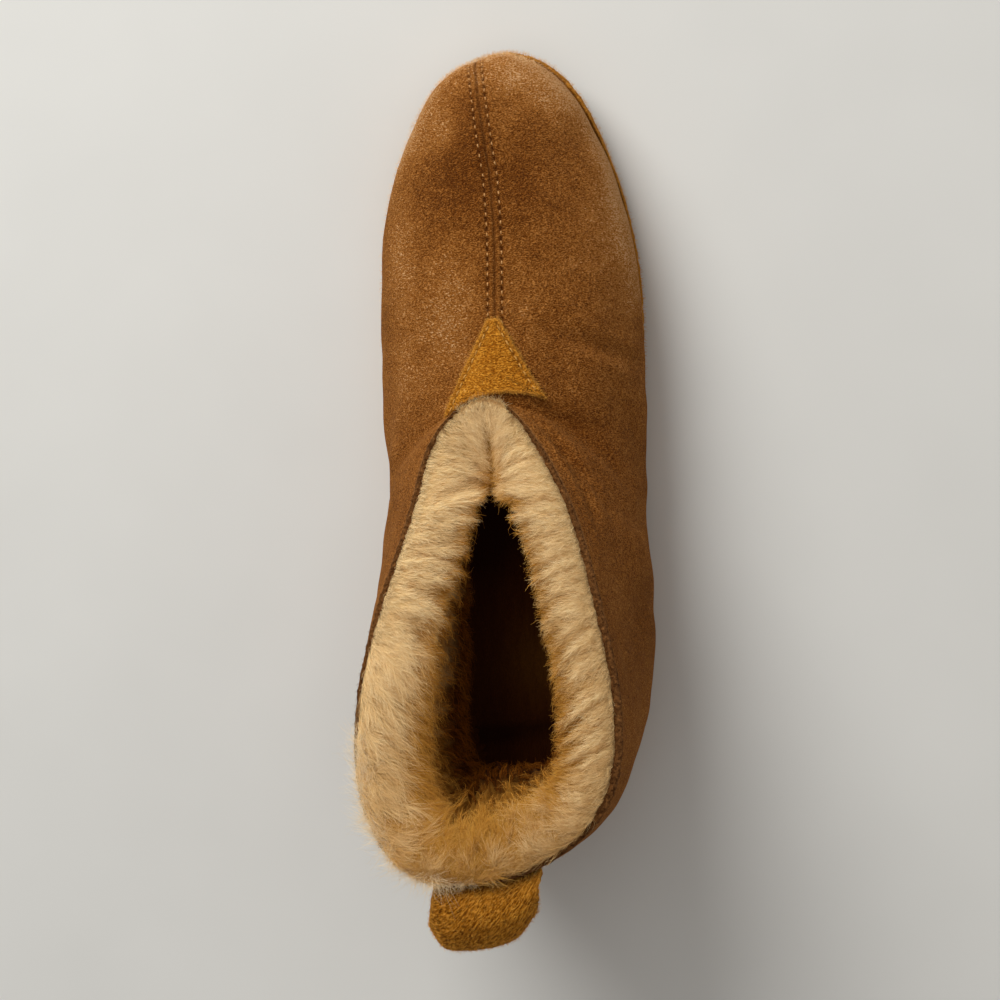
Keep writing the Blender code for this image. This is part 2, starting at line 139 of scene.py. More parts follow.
SEAM_COLUMNS = ("section", "along", "across", "inner_along", "inner_across", "inner_height")
SEAM_LINE = (
    ("seam end", 228, -3.4, 216, -3.4, 41),
    ("toe", 226, -3.1, 213.5, -3.3, 41.6),
    ("toe corner", 221, -2.7, 206, -3.2, 43.4),
    ("toe side", 212, -2.1, 194, -3.2, 46.2),
    ("ball front", 199, -1.8, 178, -3.4, 50),
    ("ball", 183, -1.7, 160, -3.7, 54.5),
    ("instep", 167, -2.4, 139, -4, 58.6),
    ("throat", THROAT_ALONG, -5, 122, -4.1, 61.5),
)

COLLAR_COLUMNS = (*FEATHER_COLUMNS, "height", "pile")
COLLAR_LINE = (
    ("throat", THROAT_ALONG, -5, THROAT_ALONG, -5, THROAT_HEIGHT, 30),
    ("collar front", 139, 11, 140, -21.5, 75, 24),
    ("ankle", 115, 23.8, 117, -28.5, 84.5, 20),
    ("quarter front", 86, 31.9, 87, -38.2, 94, 19.5),
    ("quarter", 54, 37.5, 56, -45, 100.5, 19.5),
    ("heel side", 25, 33.2, 26, -43.5, 104, 19),
    ("heel corner", 7.5, 14.5, 4.5, -30, 105.5, 18.5),
    ("heel", 0.8, -8, 0.8, -8, 106, 18.5),
)

SWELL_COLUMNS = ("section", "lean", "inner_lean", "medial_push", "lateral_push")
SWELL = (
    ("seam end", 0, 0, 1, 1),
    ("toe", 0, 0, 1, 1.5),
    ("toe corner", 0, 0, 1.5, 3),
    ("toe side", 0, 0, 2, 4),
    ("ball front", 0, 0, 2.5, 5),
    ("ball", 0, 0, 4, 5.5),
    ("instep", 4, 0, 8, 7),
    ("throat", 14, 5, 13, 8.5),
    ("collar front", 30, 30, 12.5, 6),
    ("ankle", 56, 58, 14, 6.5),
    ("quarter front", 76, 78, 17, 7.5),
    ("quarter", 82, 86, 13, 8),
    ("heel side", 84, 88, 5, 7),
    ("heel corner", 84, 88, 3, 5.5),
    ("heel", 84, 88, 3.5, 3.5),
)

# %% Smooth closed curves through the tables


class ClosedCurve:
    """A smooth closed curve through values, one at each whole number."""

    def __init__(self, values):
        self.values = np.asarray(values, float)
        count = len(self.values)
        links = 4 * np.eye(count) + np.roll(np.eye(count), 1, 1) + np.roll(np.eye(count), -1, 1)
        self.slopes = np.linalg.solve(links, 3 * (np.roll(self.values, -1) - np.roll(self.values, 1)))

    def __call__(self, at):
        at = np.mod(at, len(self.values))
        low = np.floor(at).astype(int) % len(self.values)
        high = (low + 1) % len(self.values)
        t = at - np.floor(at)
        return (
            self.values[low] * (1 + 2 * t) * (1 - t) ** 2
            + self.slopes[low] * t * (1 - t) ** 2
            + self.values[high] * t**2 * (3 - 2 * t)
            + self.slopes[high] * t**2 * (t - 1)
        )


def round_the_shoe(table, columns, name):
    """A table's column as a closed curve: down the medial rows and back up the lateral ones."""
    sides = [name, name] if name in columns else ["medial_" + name, "lateral_" + name]
    medial, lateral = ([row[columns.index(side)] for row in table] for side in sides)
    return ClosedCurve(medial + lateral[-2:0:-1])


feather_curves = [round_the_shoe(FEATHER_LINE, FEATHER_COLUMNS, n) for n in ("along", "across")]
seam_curves = {n: round_the_shoe(SEAM_LINE, SEAM_COLUMNS, n) for n in SEAM_COLUMNS[1:]}
collar_curves = {
    n: round_the_shoe(COLLAR_LINE, COLLAR_COLUMNS, n) for n in ("along", "across", "height", "pile")
}
swell_curves = {n: round_the_shoe(SWELL, SWELL_COLUMNS, n) for n in ("lean", "inner_lean", "push")}
print("sections on each side:", HEEL + 1)

# %% Soft steps and bells


def smooth_step(value, start, end):
    """From 0 at the start to 1 at the end, level at both."""
    share = np.clip((value - start) / (end - start), 0, 1)
    return share * share * (3 - 2 * share)


def rise_and_fall(value, start, full, fading, end):
    """From 0 at the start up to 1, and from there down to 0 again at the end."""
    return smooth_step(value, start, full) * (1 - smooth_step(value, fading, end))


def bell(value, width, middle=0.0):
    """1 at the middle, and next to nothing two widths away from it."""
    return np.exp(-(((value - middle) / width) ** 2))


def unit(vectors):
    return vectors / np.linalg.norm(vectors, axis=-1, keepdims=True)


# %% The sole's outline and heights


def feather(place):
    """Along and across, where each section meets the sole."""
    return np.stack([curve(place) for curve in feather_curves], -1)


def outward(place):
    """Level directions that point away from the shoe."""
    run = unit(feather(place + 0.02) - feather(place - 0.02))
    return np.stack([run[..., 1], -run[..., 0]], -1)


def arch_lift(along):
    return ARCH_LIFT * rise_and_fall(along, *ARCH_BACK, *ARCH_FRONT)


def sole_bottom(along):
    start, end = TOE_SPRING_RUN
    toe = np.clip((along - start) / (end - start), 0, None) ** 2
    back = np.clip(1 - along / HEEL_SPRING_RUN, 0, None) ** 2
    return arch_lift(along) + TOE_SPRING * toe + HEEL_SPRING * back


def sole_top(along):
    thinner = (SOLE_THICKNESS_HEEL - SOLE_THICKNESS_TOE) * smooth_step(along, *SOLE_THINNING)
    return sole_bottom(along) + SOLE_THICKNESS_HEEL - thinner - ARCH_TOP_SHARE * arch_lift(along)


print("sole at the ball in mm:", float((sole_top(190.0) - sole_bottom(190.0)).round(1)))

# %% The ends of the sections


def ridge_height(along):
    ahead = along - THROAT_ALONG
    return THROAT_HEIGHT - RIDGE_FALL * ahead + RIDGE_FLATTENING * ahead**2


def ridge_slope(along):
    return -RIDGE_FALL + 2 * RIDGE_FLATTENING * (along - THROAT_ALONG)


def collar(place):
    """Along, across, height and pile depth at the collar, which starts slowly from the throat."""
    past = np.abs(place) - THROAT
    eased = np.sign(place) * np.where(past < 1, past**2 * (2 - past), past)
    return [collar_curves[name](eased) for name in ("along", "across", "height", "pile")]


def skin_top(place):
    """The upper ends of the outer sections: on the seam, or on the collar's edge."""
    along, across = seam_curves["along"](place), seam_curves["across"](place)
    on_seam = np.stack([along, across, ridge_height(along)], -1)
    on_collar = np.stack(collar(place)[:3], -1)
    return np.where((np.abs(place) <= THROAT)[..., None], on_seam, on_collar)


def pile_top(place):
    """The upper ends of the inner sections: under the seam, or where the pile turns inside."""
    names = ("inner_along", "inner_across", "inner_height")
    under_seam = np.stack([seam_curves[name](place) for name in names], -1)
    along, across, height, pile = collar(place)
    edge = np.stack([along, across], -1)
    mouth = np.stack([np.clip(along, MOUTH_BACK, MOUTH_FRONT), np.full_like(along, MOUTH_ACROSS)], -1)
    level = edge + unit(mouth - edge) * pile[..., None]
    inside = np.concatenate([level, (height - RIM_DROP)[..., None]], -1)
    return np.where((np.abs(place) < THROAT)[..., None], under_seam, inside)


print("height of the throat in mm:", float(skin_top(np.array([THROAT]))[0, 2]))

# %% The skin, the pile and its rim


def sections(foot, top, away, lean, push, slope, steps):
    """Points of many sections at once. They all have the same steps, or a row each."""
    rise = top[:, 2] - foot[:, 2]
    share = (lean / 90)[:, None]
    tilt = np.radians(lean)
    across = foot[:, :2] - top[:, :2]
    level = unit(across / LEVEL_SPAN * (1 - share) + away * share)
    reach = np.linalg.norm(across, axis=1)
    length = HANDLE * (reach * np.cos(tilt) ** 2 + rise * np.sin(tilt) ** 2)
    fall = -np.sin(tilt) + slope * level[:, 0] * np.cos(tilt)
    lift = HANDLE * rise * (1 - HANDLE_EASE * share[:, 0])
    lower = foot + np.column_stack([away * push[:, None], lift])
    upper = top + length[:, None] * np.column_stack([level * np.cos(tilt)[:, None], fall])
    t = np.atleast_2d(steps)[:, :, None]
    ends = foot[:, None] * (1 - t) ** 3 + top[:, None] * t**3
    return ends + 3 * lower[:, None] * t * (1 - t) ** 2 + 3 * upper[:, None] * t**2 * (1 - t)


def layer(place, steps, top, wall, ridge_fade, lean_name):
    """One layer's sections, from this far inside the sole's edge up to its top."""
    edge, away = feather(place), outward(place)
    slope = ridge_slope(top[:, 0]) * (1 - smooth_step(np.abs(place), *ridge_fade))
    low = np.column_stack([edge - away * wall, sole_top(edge[:, 0]) + SEAT_GAP])
    lean, push = swell_curves[lean_name](place), swell_curves["push"](place)
    return sections(low, top, away, lean, push, slope, steps)


def outer_sections(place, steps):
    """The suede's surface."""
    return layer(place, steps, skin_top(place), 0.0, RIDGE_FADE_OUTSIDE, "lean")


def inner_sections(place, steps):
    """The pile's surface."""
    return layer(place, steps, pile_top(place), FOOT_WALL, RIDGE_FADE_INSIDE, "inner_lean")


def rim_sections(place, steps):
    """The pile's rim, from the collar's skin over to the inside."""
    skin, pile = skin_top(place), pile_top(place)
    t = np.asarray(steps)[None, :, None]
    rise = RIM_CROWN * smooth_step(np.abs(place), *CROWN_START)[:, None, None]
    crown = rise * np.sqrt(1 - (2 * t - 1) ** 2) * np.array([0, 0, 1])
    return skin[:, None] + (pile - skin)[:, None] * t + crown


def in_frame(points):
    """The slipper's own millimetres as metres in the frame."""
    points = np.asarray(points, float)
    return np.stack([-points[..., 1], HEEL_REST - points[..., 0], points[..., 2]], -1) * MM


def in_shoe(points):
    """Metres in the frame as the slipper's own millimetres."""
    points = np.asarray(points, float) / MM
    return np.stack([HEEL_REST - points[..., 1], -points[..., 0], points[..., 2]], -1)


all_places = np.linspace(-HEEL, HEEL, 200)
spots = in_frame(outer_sections(all_places, np.linspace(0, 1, 40)).reshape(-1, 3))
low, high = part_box("upper")
print("the skin in mm:", (np.ptp(spots, axis=0) / MM).round(1))
print("its solid in mm:", ((np.array(high) - low) / MM).round(1))

# %% [markdown]
# ## Meshes from grids
#
# Nearly every piece here is a sheet: a grid of points whose neighbours are joined by faces. The faces
# could be made one by one, but numpy makes all their corner numbers at once, which keeps a sheet of fifty
# thousand faces quick. Sheets that share an edge are welded there, so that they shade as one skin.

# %% A mesh from numbers


def new_mesh(name, points, faces, map_places=None):
    """An object from points in the slipper's millimetres and faces, which are rows of corner numbers.
    It can carry a flat map for its finish."""
    mesh = bpy.data.meshes.new(name)
    faces = np.asarray(faces)
    mesh.vertices.add(len(points))
    mesh.vertices.foreach_set("co", in_frame(points).ravel())
    mesh.loops.add(faces.size)
    mesh.loops.foreach_set("vertex_index", faces.ravel())
    mesh.polygons.add(len(faces))
    mesh.polygons.foreach_set("loop_start", np.arange(len(faces)) * faces.shape[1])
    mesh.update(calc_edges=True)
    if map_places is not None:
        flat = mesh.uv_layers.new(name="OFBake")
        flat.uv.foreach_set("vector", np.float32(map_places)[faces.ravel()].ravel())
    mesh.shade_smooth()
    made = bpy.data.objects.new(name, mesh)
    bpy.context.scene.collection.objects.link(made)
    return made


# %% Sheets, which are grids of points


def grid_faces(rows, columns, first=0):
    """Corner numbers of a grid's faces."""
    at = first + np.arange(rows * columns).reshape(rows, columns)
    return np.stack([at[:-1, :-1], at[:-1, 1:], at[1:, 1:], at[1:, :-1]], -1).reshape(-1, 4)


def sheets_object(name, sheets, weld=0.02):
    """One object from sheets, which are grids of points. Points closer than weld become one."""
    points, faces, count = [], [], 0
    for sheet in sheets:
        rows, columns = sheet.shape[:2]
        points.append(sheet.reshape(-1, 3))
        faces.append(grid_faces(rows, columns, count))
        count += rows * columns
    made = new_mesh(name, np.concatenate(points), np.concatenate(faces))
    weld_points(made, weld)
    return made


def weld_points(made, distance):
    """Joins points that lie together, and turns every face to the same side."""
    mesh = bmesh.new()
    mesh.from_mesh(made.data)
    bmesh.ops.remove_doubles(mesh, verts=mesh.verts, dist=distance * MM)
    bmesh.ops.dissolve_degenerate(mesh, edges=mesh.edges, dist=0.5 * distance * MM)
    bmesh.ops.recalc_face_normals(mesh, faces=mesh.faces)
    mesh.to_mesh(made.data)
    mesh.free()
    made.data.shade_smooth()


# %% Reading, moving and marking points


def points_of(made):
    """An object's points and their directions, in the slipper's own sizes."""
    count = len(made.data.vertices)
    points, normals = np.empty(count * 3), np.empty(count * 3)
    made.data.vertices.foreach_get("co", points)
    made.data.vertex_normals.foreach_get("vector", normals)
    normals = normals.reshape(-1, 3)
    return in_shoe(points.reshape(-1, 3)), np.stack([-normals[:, 1], -normals[:, 0], normals[:, 2]], -1)


def move_points(made, points):
    made.data.vertices.foreach_set("co", in_frame(points).ravel())
    made.data.update()


def keep_values(made, **values):
    """Keeps named numbers on an object's points, for its finish to read."""
    for name, numbers in values.items():
        made.data.attributes.new(name, "FLOAT", "POINT").data.foreach_set("value", np.float32(numbers))


def facing_out(made, inside):
    """Turns the faces over if they look at this point of the slipper."""
    points, normals = points_of(made)
    if np.sum((points - np.asarray(inside)) * normals) < 0:
        made.data.flip_normals()


def tree_of(made):
    """The object's faces as a tree, which is searched fast."""
    mesh = made.data
    corners = [tuple(vertex.co) for vertex in mesh.vertices]
    return BVHTree.FromPolygons(corners, [tuple(face.vertices) for face in mesh.polygons])


def triangles(made):
    return sum(len(face.vertices) - 2 for face in made.data.polygons)


chance = np.random.default_rng(14)

# %% [markdown]
# ## Finishes
#
# A finish is a material made of nodes. Building one node at a time makes long scripts, so a small class
# wraps a node's output, and Python's own +, - and * on it add the Math nodes, also with a plain number on
# the left. Numbers that are the same all over go straight to the shader, and only what varies over the
# surface is linked.

# %% A value that varies over a surface


class Value:
    """A number that varies over a surface. Operators on it add Math nodes."""

    def __init__(self, finish, socket):
        self.finish = finish
        self.socket = socket

    def math(self, operation, *others, clamp=False):
        numbers = dict(enumerate((self, *others)))
        settings = {"operation": operation, "use_clamp": clamp}
        return self.finish.add("ShaderNodeMath", settings, numbers)

    def __add__(self, other):
        return self.math("ADD", other)

    def __sub__(self, other):
        return self.math("SUBTRACT", other)

    def __rsub__(self, other):
        return (self * -1) + other

    def __mul__(self, other):
        return self.math("MULTIPLY", other)

    __radd__ = __add__
    __rmul__ = __mul__

    def between(self, start, end):
        """0 below start, 1 above end."""
        return ((self - start) * (1 / (end - start))).math("ADD", 0, clamp=True)


# %% A finish


class Finish:
    """A material, with short calls for the nodes that its pattern needs."""

    def __init__(self, name, **constants):
        self.material = bpy.data.materials.new(name)
        self.material.use_nodes = True
        self.tree = self.material.node_tree
        self.surface = self.tree.nodes["Principled BSDF"]
        for key, value in constants.items():
            self.use(key.replace("_", " ").title().replace("Ior", "IOR"), value)

    def add(self, kind, settings=None, sockets=None, output=0):
        """Any node: its settings first, then the numbers or links of its sockets."""
        node = self.tree.nodes.new(kind)
        for key, value in (settings or {}).items():
            if key == "stops":
                self.set_stops(node.color_ramp, value)
            else:
                setattr(node, key, value)
        for key, value in (sockets or {}).items():
            self.fill(node, key, value)
        return Value(self, node.outputs[output])

    def set_stops(self, ramp, stops):
        while len(ramp.elements) < len(stops):
            ramp.elements.new(1)
        for element, (position, colour) in zip(ramp.elements, stops):
            element.position = position
            element.color = (*colour, 1)

    def fill(self, node, key, value):
        socket = node.inputs[key] if isinstance(key, int) else None
        if socket is None:
            socket = next(s for s in node.inputs if key in (s.identifier, s.name))
        if isinstance(value, Value):
            self.tree.links.new(value.socket, socket)
        elif socket.type == "RGBA":
            socket.default_value = (*value, 1)
        else:
            socket.default_value = value

    def place(self, stretch=(1, 1, 1)):
        """Where a point lies on the object, in metres, stretched along the three axes."""
        at = self.add("ShaderNodeTexCoord", output="Object")
        return self.add("ShaderNodeVectorMath", {"operation": "MULTIPLY"}, {0: at, 1: stretch})

    def noise(self, size_mm, detail=2.0, rough=0.55, stretch=(1, 1, 1), distortion=0.0):
        """Soft patches of about this size, from 0 to 1."""
        sockets = {
            "Vector": self.place(stretch),
            "Scale": 1 / (size_mm * MM),
            "Detail": detail,
            "Roughness": rough,
            "Distortion": distortion,
        }
        return self.add("ShaderNodeTexNoise", {}, sockets)

    def strands(self, across, along, sizes):
        """Noise along strands: two values say where each point lies across the strands and along them.
        The sizes are the noise's scale, detail and roughness."""
        at = self.add("ShaderNodeCombineXYZ", {}, {"X": across, "Y": along, "Z": 0.0})
        scale, detail, rough = sizes
        sockets = {"Vector": at, "Scale": scale, "Detail": detail, "Roughness": rough}
        return self.add("ShaderNodeTexNoise", {}, sockets)

    def attribute(self, name):
        """A value that is kept on the mesh's points."""
        return self.add("ShaderNodeAttribute", {"attribute_name": name}, output="Fac")

    def mix(self, share, first, second):
        """One colour, turning into another where share is 1."""
        sockets = {"Factor_Float": share, "A_Color": first, "B_Color": second}
        return self.add("ShaderNodeMix", {"data_type": "RGBA"}, sockets, output=2)

    def ramp(self, share, *stops):
        """A colour that runs through these stops, each a position and a colour."""
        return self.add("ShaderNodeValToRGB", {"stops": stops}, {"Fac": share}, output="Color")

    def use(self, socket, value):
        """Fills a socket of the shader itself."""
        self.fill(self.surface, socket, value)

    def bump(self, height, depth_mm, strength=1.0):
        """Fine relief, which changes only how the light falls."""
        sockets = {"Height": height, "Distance": depth_mm * MM, "Strength": strength}
        self.use("Normal", self.add("ShaderNodeBump", {}, sockets))


def wear(made, finish):
    """Puts one finish on an object."""
    made.data.materials.clear()
    made.data.materials.append(finish.material)


def finish_piece(made, finish, stands_for=None):
    """Makes a piece part of the slipper: its finish, its body, and the solid it stands for, which is
    hidden.
    """
    wear(made, finish)
    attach(made, "root")
    if stands_for:
        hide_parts(stands_for)
    print(made.name, "has", triangles(made), "triangles")


print("a finish can:", [name for name in vars(Finish) if not name.startswith("_")])

# %% [markdown]
# ## Brushed suede
#
# Suede is the flesh side of the skin, sanded until its fibres stand up. Where a hand or a brush has
# passed, the fibres lie another way and look lighter or darker, so it is never one colour. Real fibres
# could be modelled, but at half a millimetre long they only show as a fine grain. So noise of four sizes
# makes the colour: clouds, strokes, flecks and grain, the last two of which are the bump too. A value
# kept on a piece's points makes the suede lighter or darker on the whole, partly as nap brushed another
# way and partly as painted shade and painted highlight.

# %% Suede of any colour
CLOUD_MM = 42
STROKE_MM = 7
BROWN_NAP_MM = 0.38
MUSTARD_NAP_MM = 0.5
FLECK_SHARE = 2.2  # a fleck's size, in grains of the nap
NAP_BUMP_MM = 0.55
# the suede's palest colour, a painted sheen that the painted highlights reach
PAINTED_SHEEN_PALE = (0.95, 0.70, 0.42)
NAP_SHEEN = {"sheen_weight": 0.42, "sheen_roughness": 0.25}


def suede(name, colours, sheen, nap_mm):
    """Brushed suede: clouds, strokes, flecks and a fine grain, which is also the bump."""
    finish = Finish(name, roughness=0.95, specular_ior_level=0.04, **NAP_SHEEN, sheen_tint=sheen)
    clouds = finish.noise(CLOUD_MM, 3, 0.6)
    strokes = finish.noise(STROKE_MM, 4, 0.68, distortion=0.5)
    grain = finish.noise(nap_mm, 1.5, 0.7, (0.6, 1.1, 0.4))
    flecks = finish.noise(FLECK_SHARE * nap_mm, 2, 0.6, (0.8, 1.0, 0.4))
    grainy = grain.between(0.37, 0.63) * 0.72 + flecks.between(0.34, 0.66) * 0.28
    lie = clouds.between(0.34, 0.66) * 0.16 + strokes.between(0.30, 0.70) * 0.20
    # the kept value adds nap brushed another way, and painted shade and painted highlight
    tone = lie + grainy * 0.80 + finish.attribute("brushed") * 0.36 - 0.15
    dark, middle, light = colours
    # the palest stop is a painted sheen, pale and greyish
    sheen_palest = tuple(0.65 * own + 0.35 * pale for own, pale in zip(light, PAINTED_SHEEN_PALE))
    colour = finish.ramp(tone, (0.06, dark), (0.42, middle), (0.84, light), (1.0, sheen_palest))
    finish.bump(grainy, NAP_BUMP_MM)
    return finish, colour


# %% The brown suede
BROWN = ((0.092, 0.024, 0.003), (0.245, 0.076, 0.010), (0.500, 0.205, 0.046))
BROWN_SHEEN = (0.90, 0.42, 0.13)
SEAM_GROOVE_SHADE = (0.085, 0.020, 0.001)
NEEDLE_HOLE_SHADE = (0.060, 0.012, 0.001)
CUT_LIP = (0.360, 0.190, 0.080)

brown, brown_colour = suede("brown suede", BROWN, BROWN_SHEEN, BROWN_NAP_MM)
# Painted shade in the seam's groove and sewn rows, and in the needle holes beside them
seam_shade = brown.attribute("seam").between(0.0, 1.0)
brown_colour = brown.mix(seam_shade * 0.66, brown_colour, SEAM_GROOVE_SHADE)
brown_colour = brown.mix(brown.attribute("needle") * 0.92, brown_colour, NEEDLE_HOLE_SHADE)
brown_colour = brown.mix(brown.attribute("lip") * 0.5, brown_colour, CUT_LIP)
brown.use("Base Color", brown_colour)
print("nodes in the brown suede:", len(brown.tree.nodes))

# %% [markdown]
# ## The suede skin
#
# Two halves of skin are sewn together over the toe and the instep, with the seam pressed flat, and are
# left open behind the throat. The skin is one sheet of grid points on each side, closer together at the
# seam. A crease in soft skin is a trough with a low ridge beside it. Sculpting would do it, but a crease
# that is placed by section and height stays where it belongs when the last changes. All of them add up in
# one number for each point, the relief, by which the points move out of the smooth skin at the end.

# %% The skin's grid
SEAM_ROWS = 0.25 * np.arange(16)  # distances from the seam or collar edge
BODY_ROWS = 62
FINE_WELD = 0.01


def spread_places():
    """Places along one side: close together along the seam, wider round the heel."""
    toe = np.linspace(0, 1, 44)[:-1] ** 1.5 * 2
    vamp = np.linspace(2, THROAT, 190)[:-1]
    quarter = np.linspace(THROAT, HEEL, 105)
    return np.concatenate([toe, vamp, quarter])


def length_so_far(line):
    """How far along a line each of its points lies."""
    return np.concatenate([[0], np.cumsum(np.linalg.norm(np.diff(line, axis=0), axis=1))])


def read_line(line, wanted):
    """A line's points at these distances along it."""
    run = length_so_far(line)
    return np.stack([np.interp(wanted, run, line[:, k]) for k in range(3)], -1)


def from_the_top(section):
    """A section's points again: close together below its top, wider further down."""
    line = section[::-1]
    rest = np.linspace(SEAM_ROWS[-1], length_so_far(line)[-1], BODY_ROWS)[1:]
    return read_line(line, np.concatenate([SEAM_ROWS, rest]))


side_places = spread_places()
fine_steps = np.linspace(0, 1, 160)
skin_sheets = []
for side in (1, -1):
    side_sections = outer_sections(side * side_places, fine_steps)
    skin_sheets.append(np.array([from_the_top(section) for section in side_sections]))
skin = sheets_object("upper_suede", skin_sheets, FINE_WELD)
facing_out(skin, (140, -2, 30))
smooth_tree = tree_of(skin)
print("places along the skin:", 2 * len(side_places))

# %% The seam's line and the creases' lines


def resample(line, spacing):
    """A line's points again, this far apart."""
    line = np.asarray(line, float)
    return read_line(line, np.arange(0, length_so_far(line)[-1], spacing))


SEAM_READ = 0.2  # spacing of the seam line's points
toe_part = outer_sections(np.array([0.0]), np.linspace(0, 1, 200))[0]
ridge_part = skin_top(np.linspace(0, THROAT, 300))[1:]
seam_line = resample(np.concatenate([toe_part, ridge_part]), SEAM_READ)
seam_length = SEAM_READ * len(seam_line)
print("the seam is", round(seam_length), "mm long")


# %% Lines on the skin


def distance_to(points, spots):
    """Each point's distance to the nearest of many close spots, and that spot's number."""
    tree = KDTree(len(spots))
    for number, spot in enumerate(spots):
        tree.insert(spot, number)
    tree.balance()
    numbers, distances = zip(*(tree.find(point)[1:] for point in points))
    return np.array(distances), np.array(numbers)


def skin_point(place, drop):
    """A point on the skin, at a share of the way down from its top."""
    return outer_sections(np.array([float(place)]), np.array([1 - drop]))[0, 0]


# name, from place and drop, to place and drop, bend, width, depth
CREASES = (
    ("from the patch's corner", 7.06, 0.04, 8.9, 0.25, 0, 2.2, 0.95),
    ("along the collar", 7.5, 0.045, 9.6, 0.045, 0, 1.5, 0.35),
    ("beside the collar", 7.75, 0.16, 9.2, 0.10, 0.01, 2.6, 0.9),
    ("behind the patch", 7.15, 0.20, 8.05, 0.56, 0.03, 3.4, 1.25),
    ("across the instep", 5.66, 0.22, 6.10, 0.80, 0.05, 3, 1.15),
    ("instep low", 6.4, 0.50, 7.3, 0.76, -0.04, 5, 0.8),
    ("ankle fold", 8.6, 0.34, 8.2, 0.78, 0.25, 4.6, 1),
    ("quarter fold", 10.3, 0.22, 9.9, 0.72, -0.3, 6, 0.9),
    ("heel fold", 12.3, 0.42, 12.9, 0.82, 0.2, 5, 0.8),
    ("toe dent", 2.6, 0.36, 3.3, 0.48, 0.05, 3.6, 0.45),
    ("beside the patch, lateral", -6.65, 0.24, -6.95, 0.66, 0, 3.2, 0.9),
    ("lateral fold", -7.3, 0.24, -7.9, 0.62, 0.1, 4.4, 1),
    ("lateral low", -6.3, 0.55, -7.2, 0.80, -0.1, 4.5, 0.7),
    ("lateral quarter", -10.2, 0.40, -9.7, 0.82, 0.25, 6, 0.8),
    ("lateral heel", -12.4, 0.34, -12.8, 0.80, -0.2, 5.2, 0.8),
)


def crease_line(place, drop, end_place, end_drop, bend):
    """A crease's line on the skin, from its first place to its last, a little bent."""
    share = np.linspace(0, 1, 40)
    places = place + (end_place - place) * share + bend * np.sin(np.pi * share)
    drops = drop + (end_drop - drop) * share
    return np.array([skin_point(p, d) for p, d in zip(places, drops)])


print("creases:", len(CREASES))

# %% The seam's groove and its needle holes
SEAM_SPACING = 2.35  # from the seam to each sewn row
STITCH_PITCH = 3.45
STITCH_SHARE = 0.34  # of the pitch that shows as thread

points, normals = points_of(skin)
from_seam, nearest = distance_to(points, seam_line)
groove = bell(from_seam, 0.38)
shoulder = bell(from_seam, 0.7, 1.15)
sewn_row = bell(from_seam, 0.42, SEAM_SPACING)
beyond = bell(from_seam, 1.3, 4.2)
phase = np.cos(2 * np.pi * SEAM_READ * nearest / STITCH_PITCH)
needle_hole = bell(from_seam, 0.58, SEAM_SPACING) * smooth_step(phase, -0.25, 0.55)
relief = -0.5 * groove + 0.18 * shoulder - 0.22 * sewn_row - 0.4 * needle_hole + 0.2 * beyond
print("holes along the seam:", round(seam_length / STITCH_PITCH))

# %% The creases
RIDGE_AWAY = 1.7  # a crease's ridge, in widths beside its trough
RIDGE_SHARE = 0.42  # its height, as a share of the trough's depth

for _, *path, width, depth in CREASES:
    distance, number = distance_to(points, resample(crease_line(*path), 0.8))
    ends = np.sin(np.pi * np.clip(number / (number.max() + 1), 0.06, 0.94)) ** 0.7
    widths_away = distance / width
    trough = bell(widths_away, 1.0) - RIDGE_SHARE * bell(widths_away, 1.0, RIDGE_AWAY)
    relief -= depth * ends * trough
print("deepest trough and highest ridge in mm:", relief.min().round(2), relief.max().round(2))

# %% Lumps and fullness


def ripples(points, size, count=9):
    """Soft unevenness of skin: waves in many directions that add up to lumps of about this size."""
    total = np.zeros(len(points))
    for _ in range(count):
        way = unit(chance.normal(size=3)) * chance.uniform(0.7, 1.4) * 2 * np.pi / size
        total += np.sin(points @ way + chance.uniform(0, 2 * np.pi))
    return total / np.sqrt(count)


def roughen(made, *waves):
    """Moves an object's points by ripples, each a height and a size, and gives the old points."""
    points, normals = points_of(made)
    lumps = sum(height * ripples(points, size) for height, size in waves)
    move_points(made, points + normals * lumps[:, None])
    return points


def medial_fullness(points):
    """The medial side swells out a little over the rand, from the ball to the ankle."""
    along, across, up = points.T
    return rise_and_fall(along, 84, 122, 216, 244) * smooth_step(across, 10, 26) * bell(up, 11, 27)


def toe_fullness(points):
    """The lateral half of the toe swells out too, so the rand hides under it there."""
    along, across, up = points.T
    return smooth_step(along, 192, 222) * (1 - smooth_step(across, -1, 8)) * bell(up, 9, 27)


relief += 1.3 * medial_fullness(points) + 0.9 * toe_fullness(points)
relief += 0.16 * ripples(points, 26) + 0.07 * ripples(points, 11)
print("relief in mm, with lumps:", relief.min().round(2), "to", relief.max().round(2))
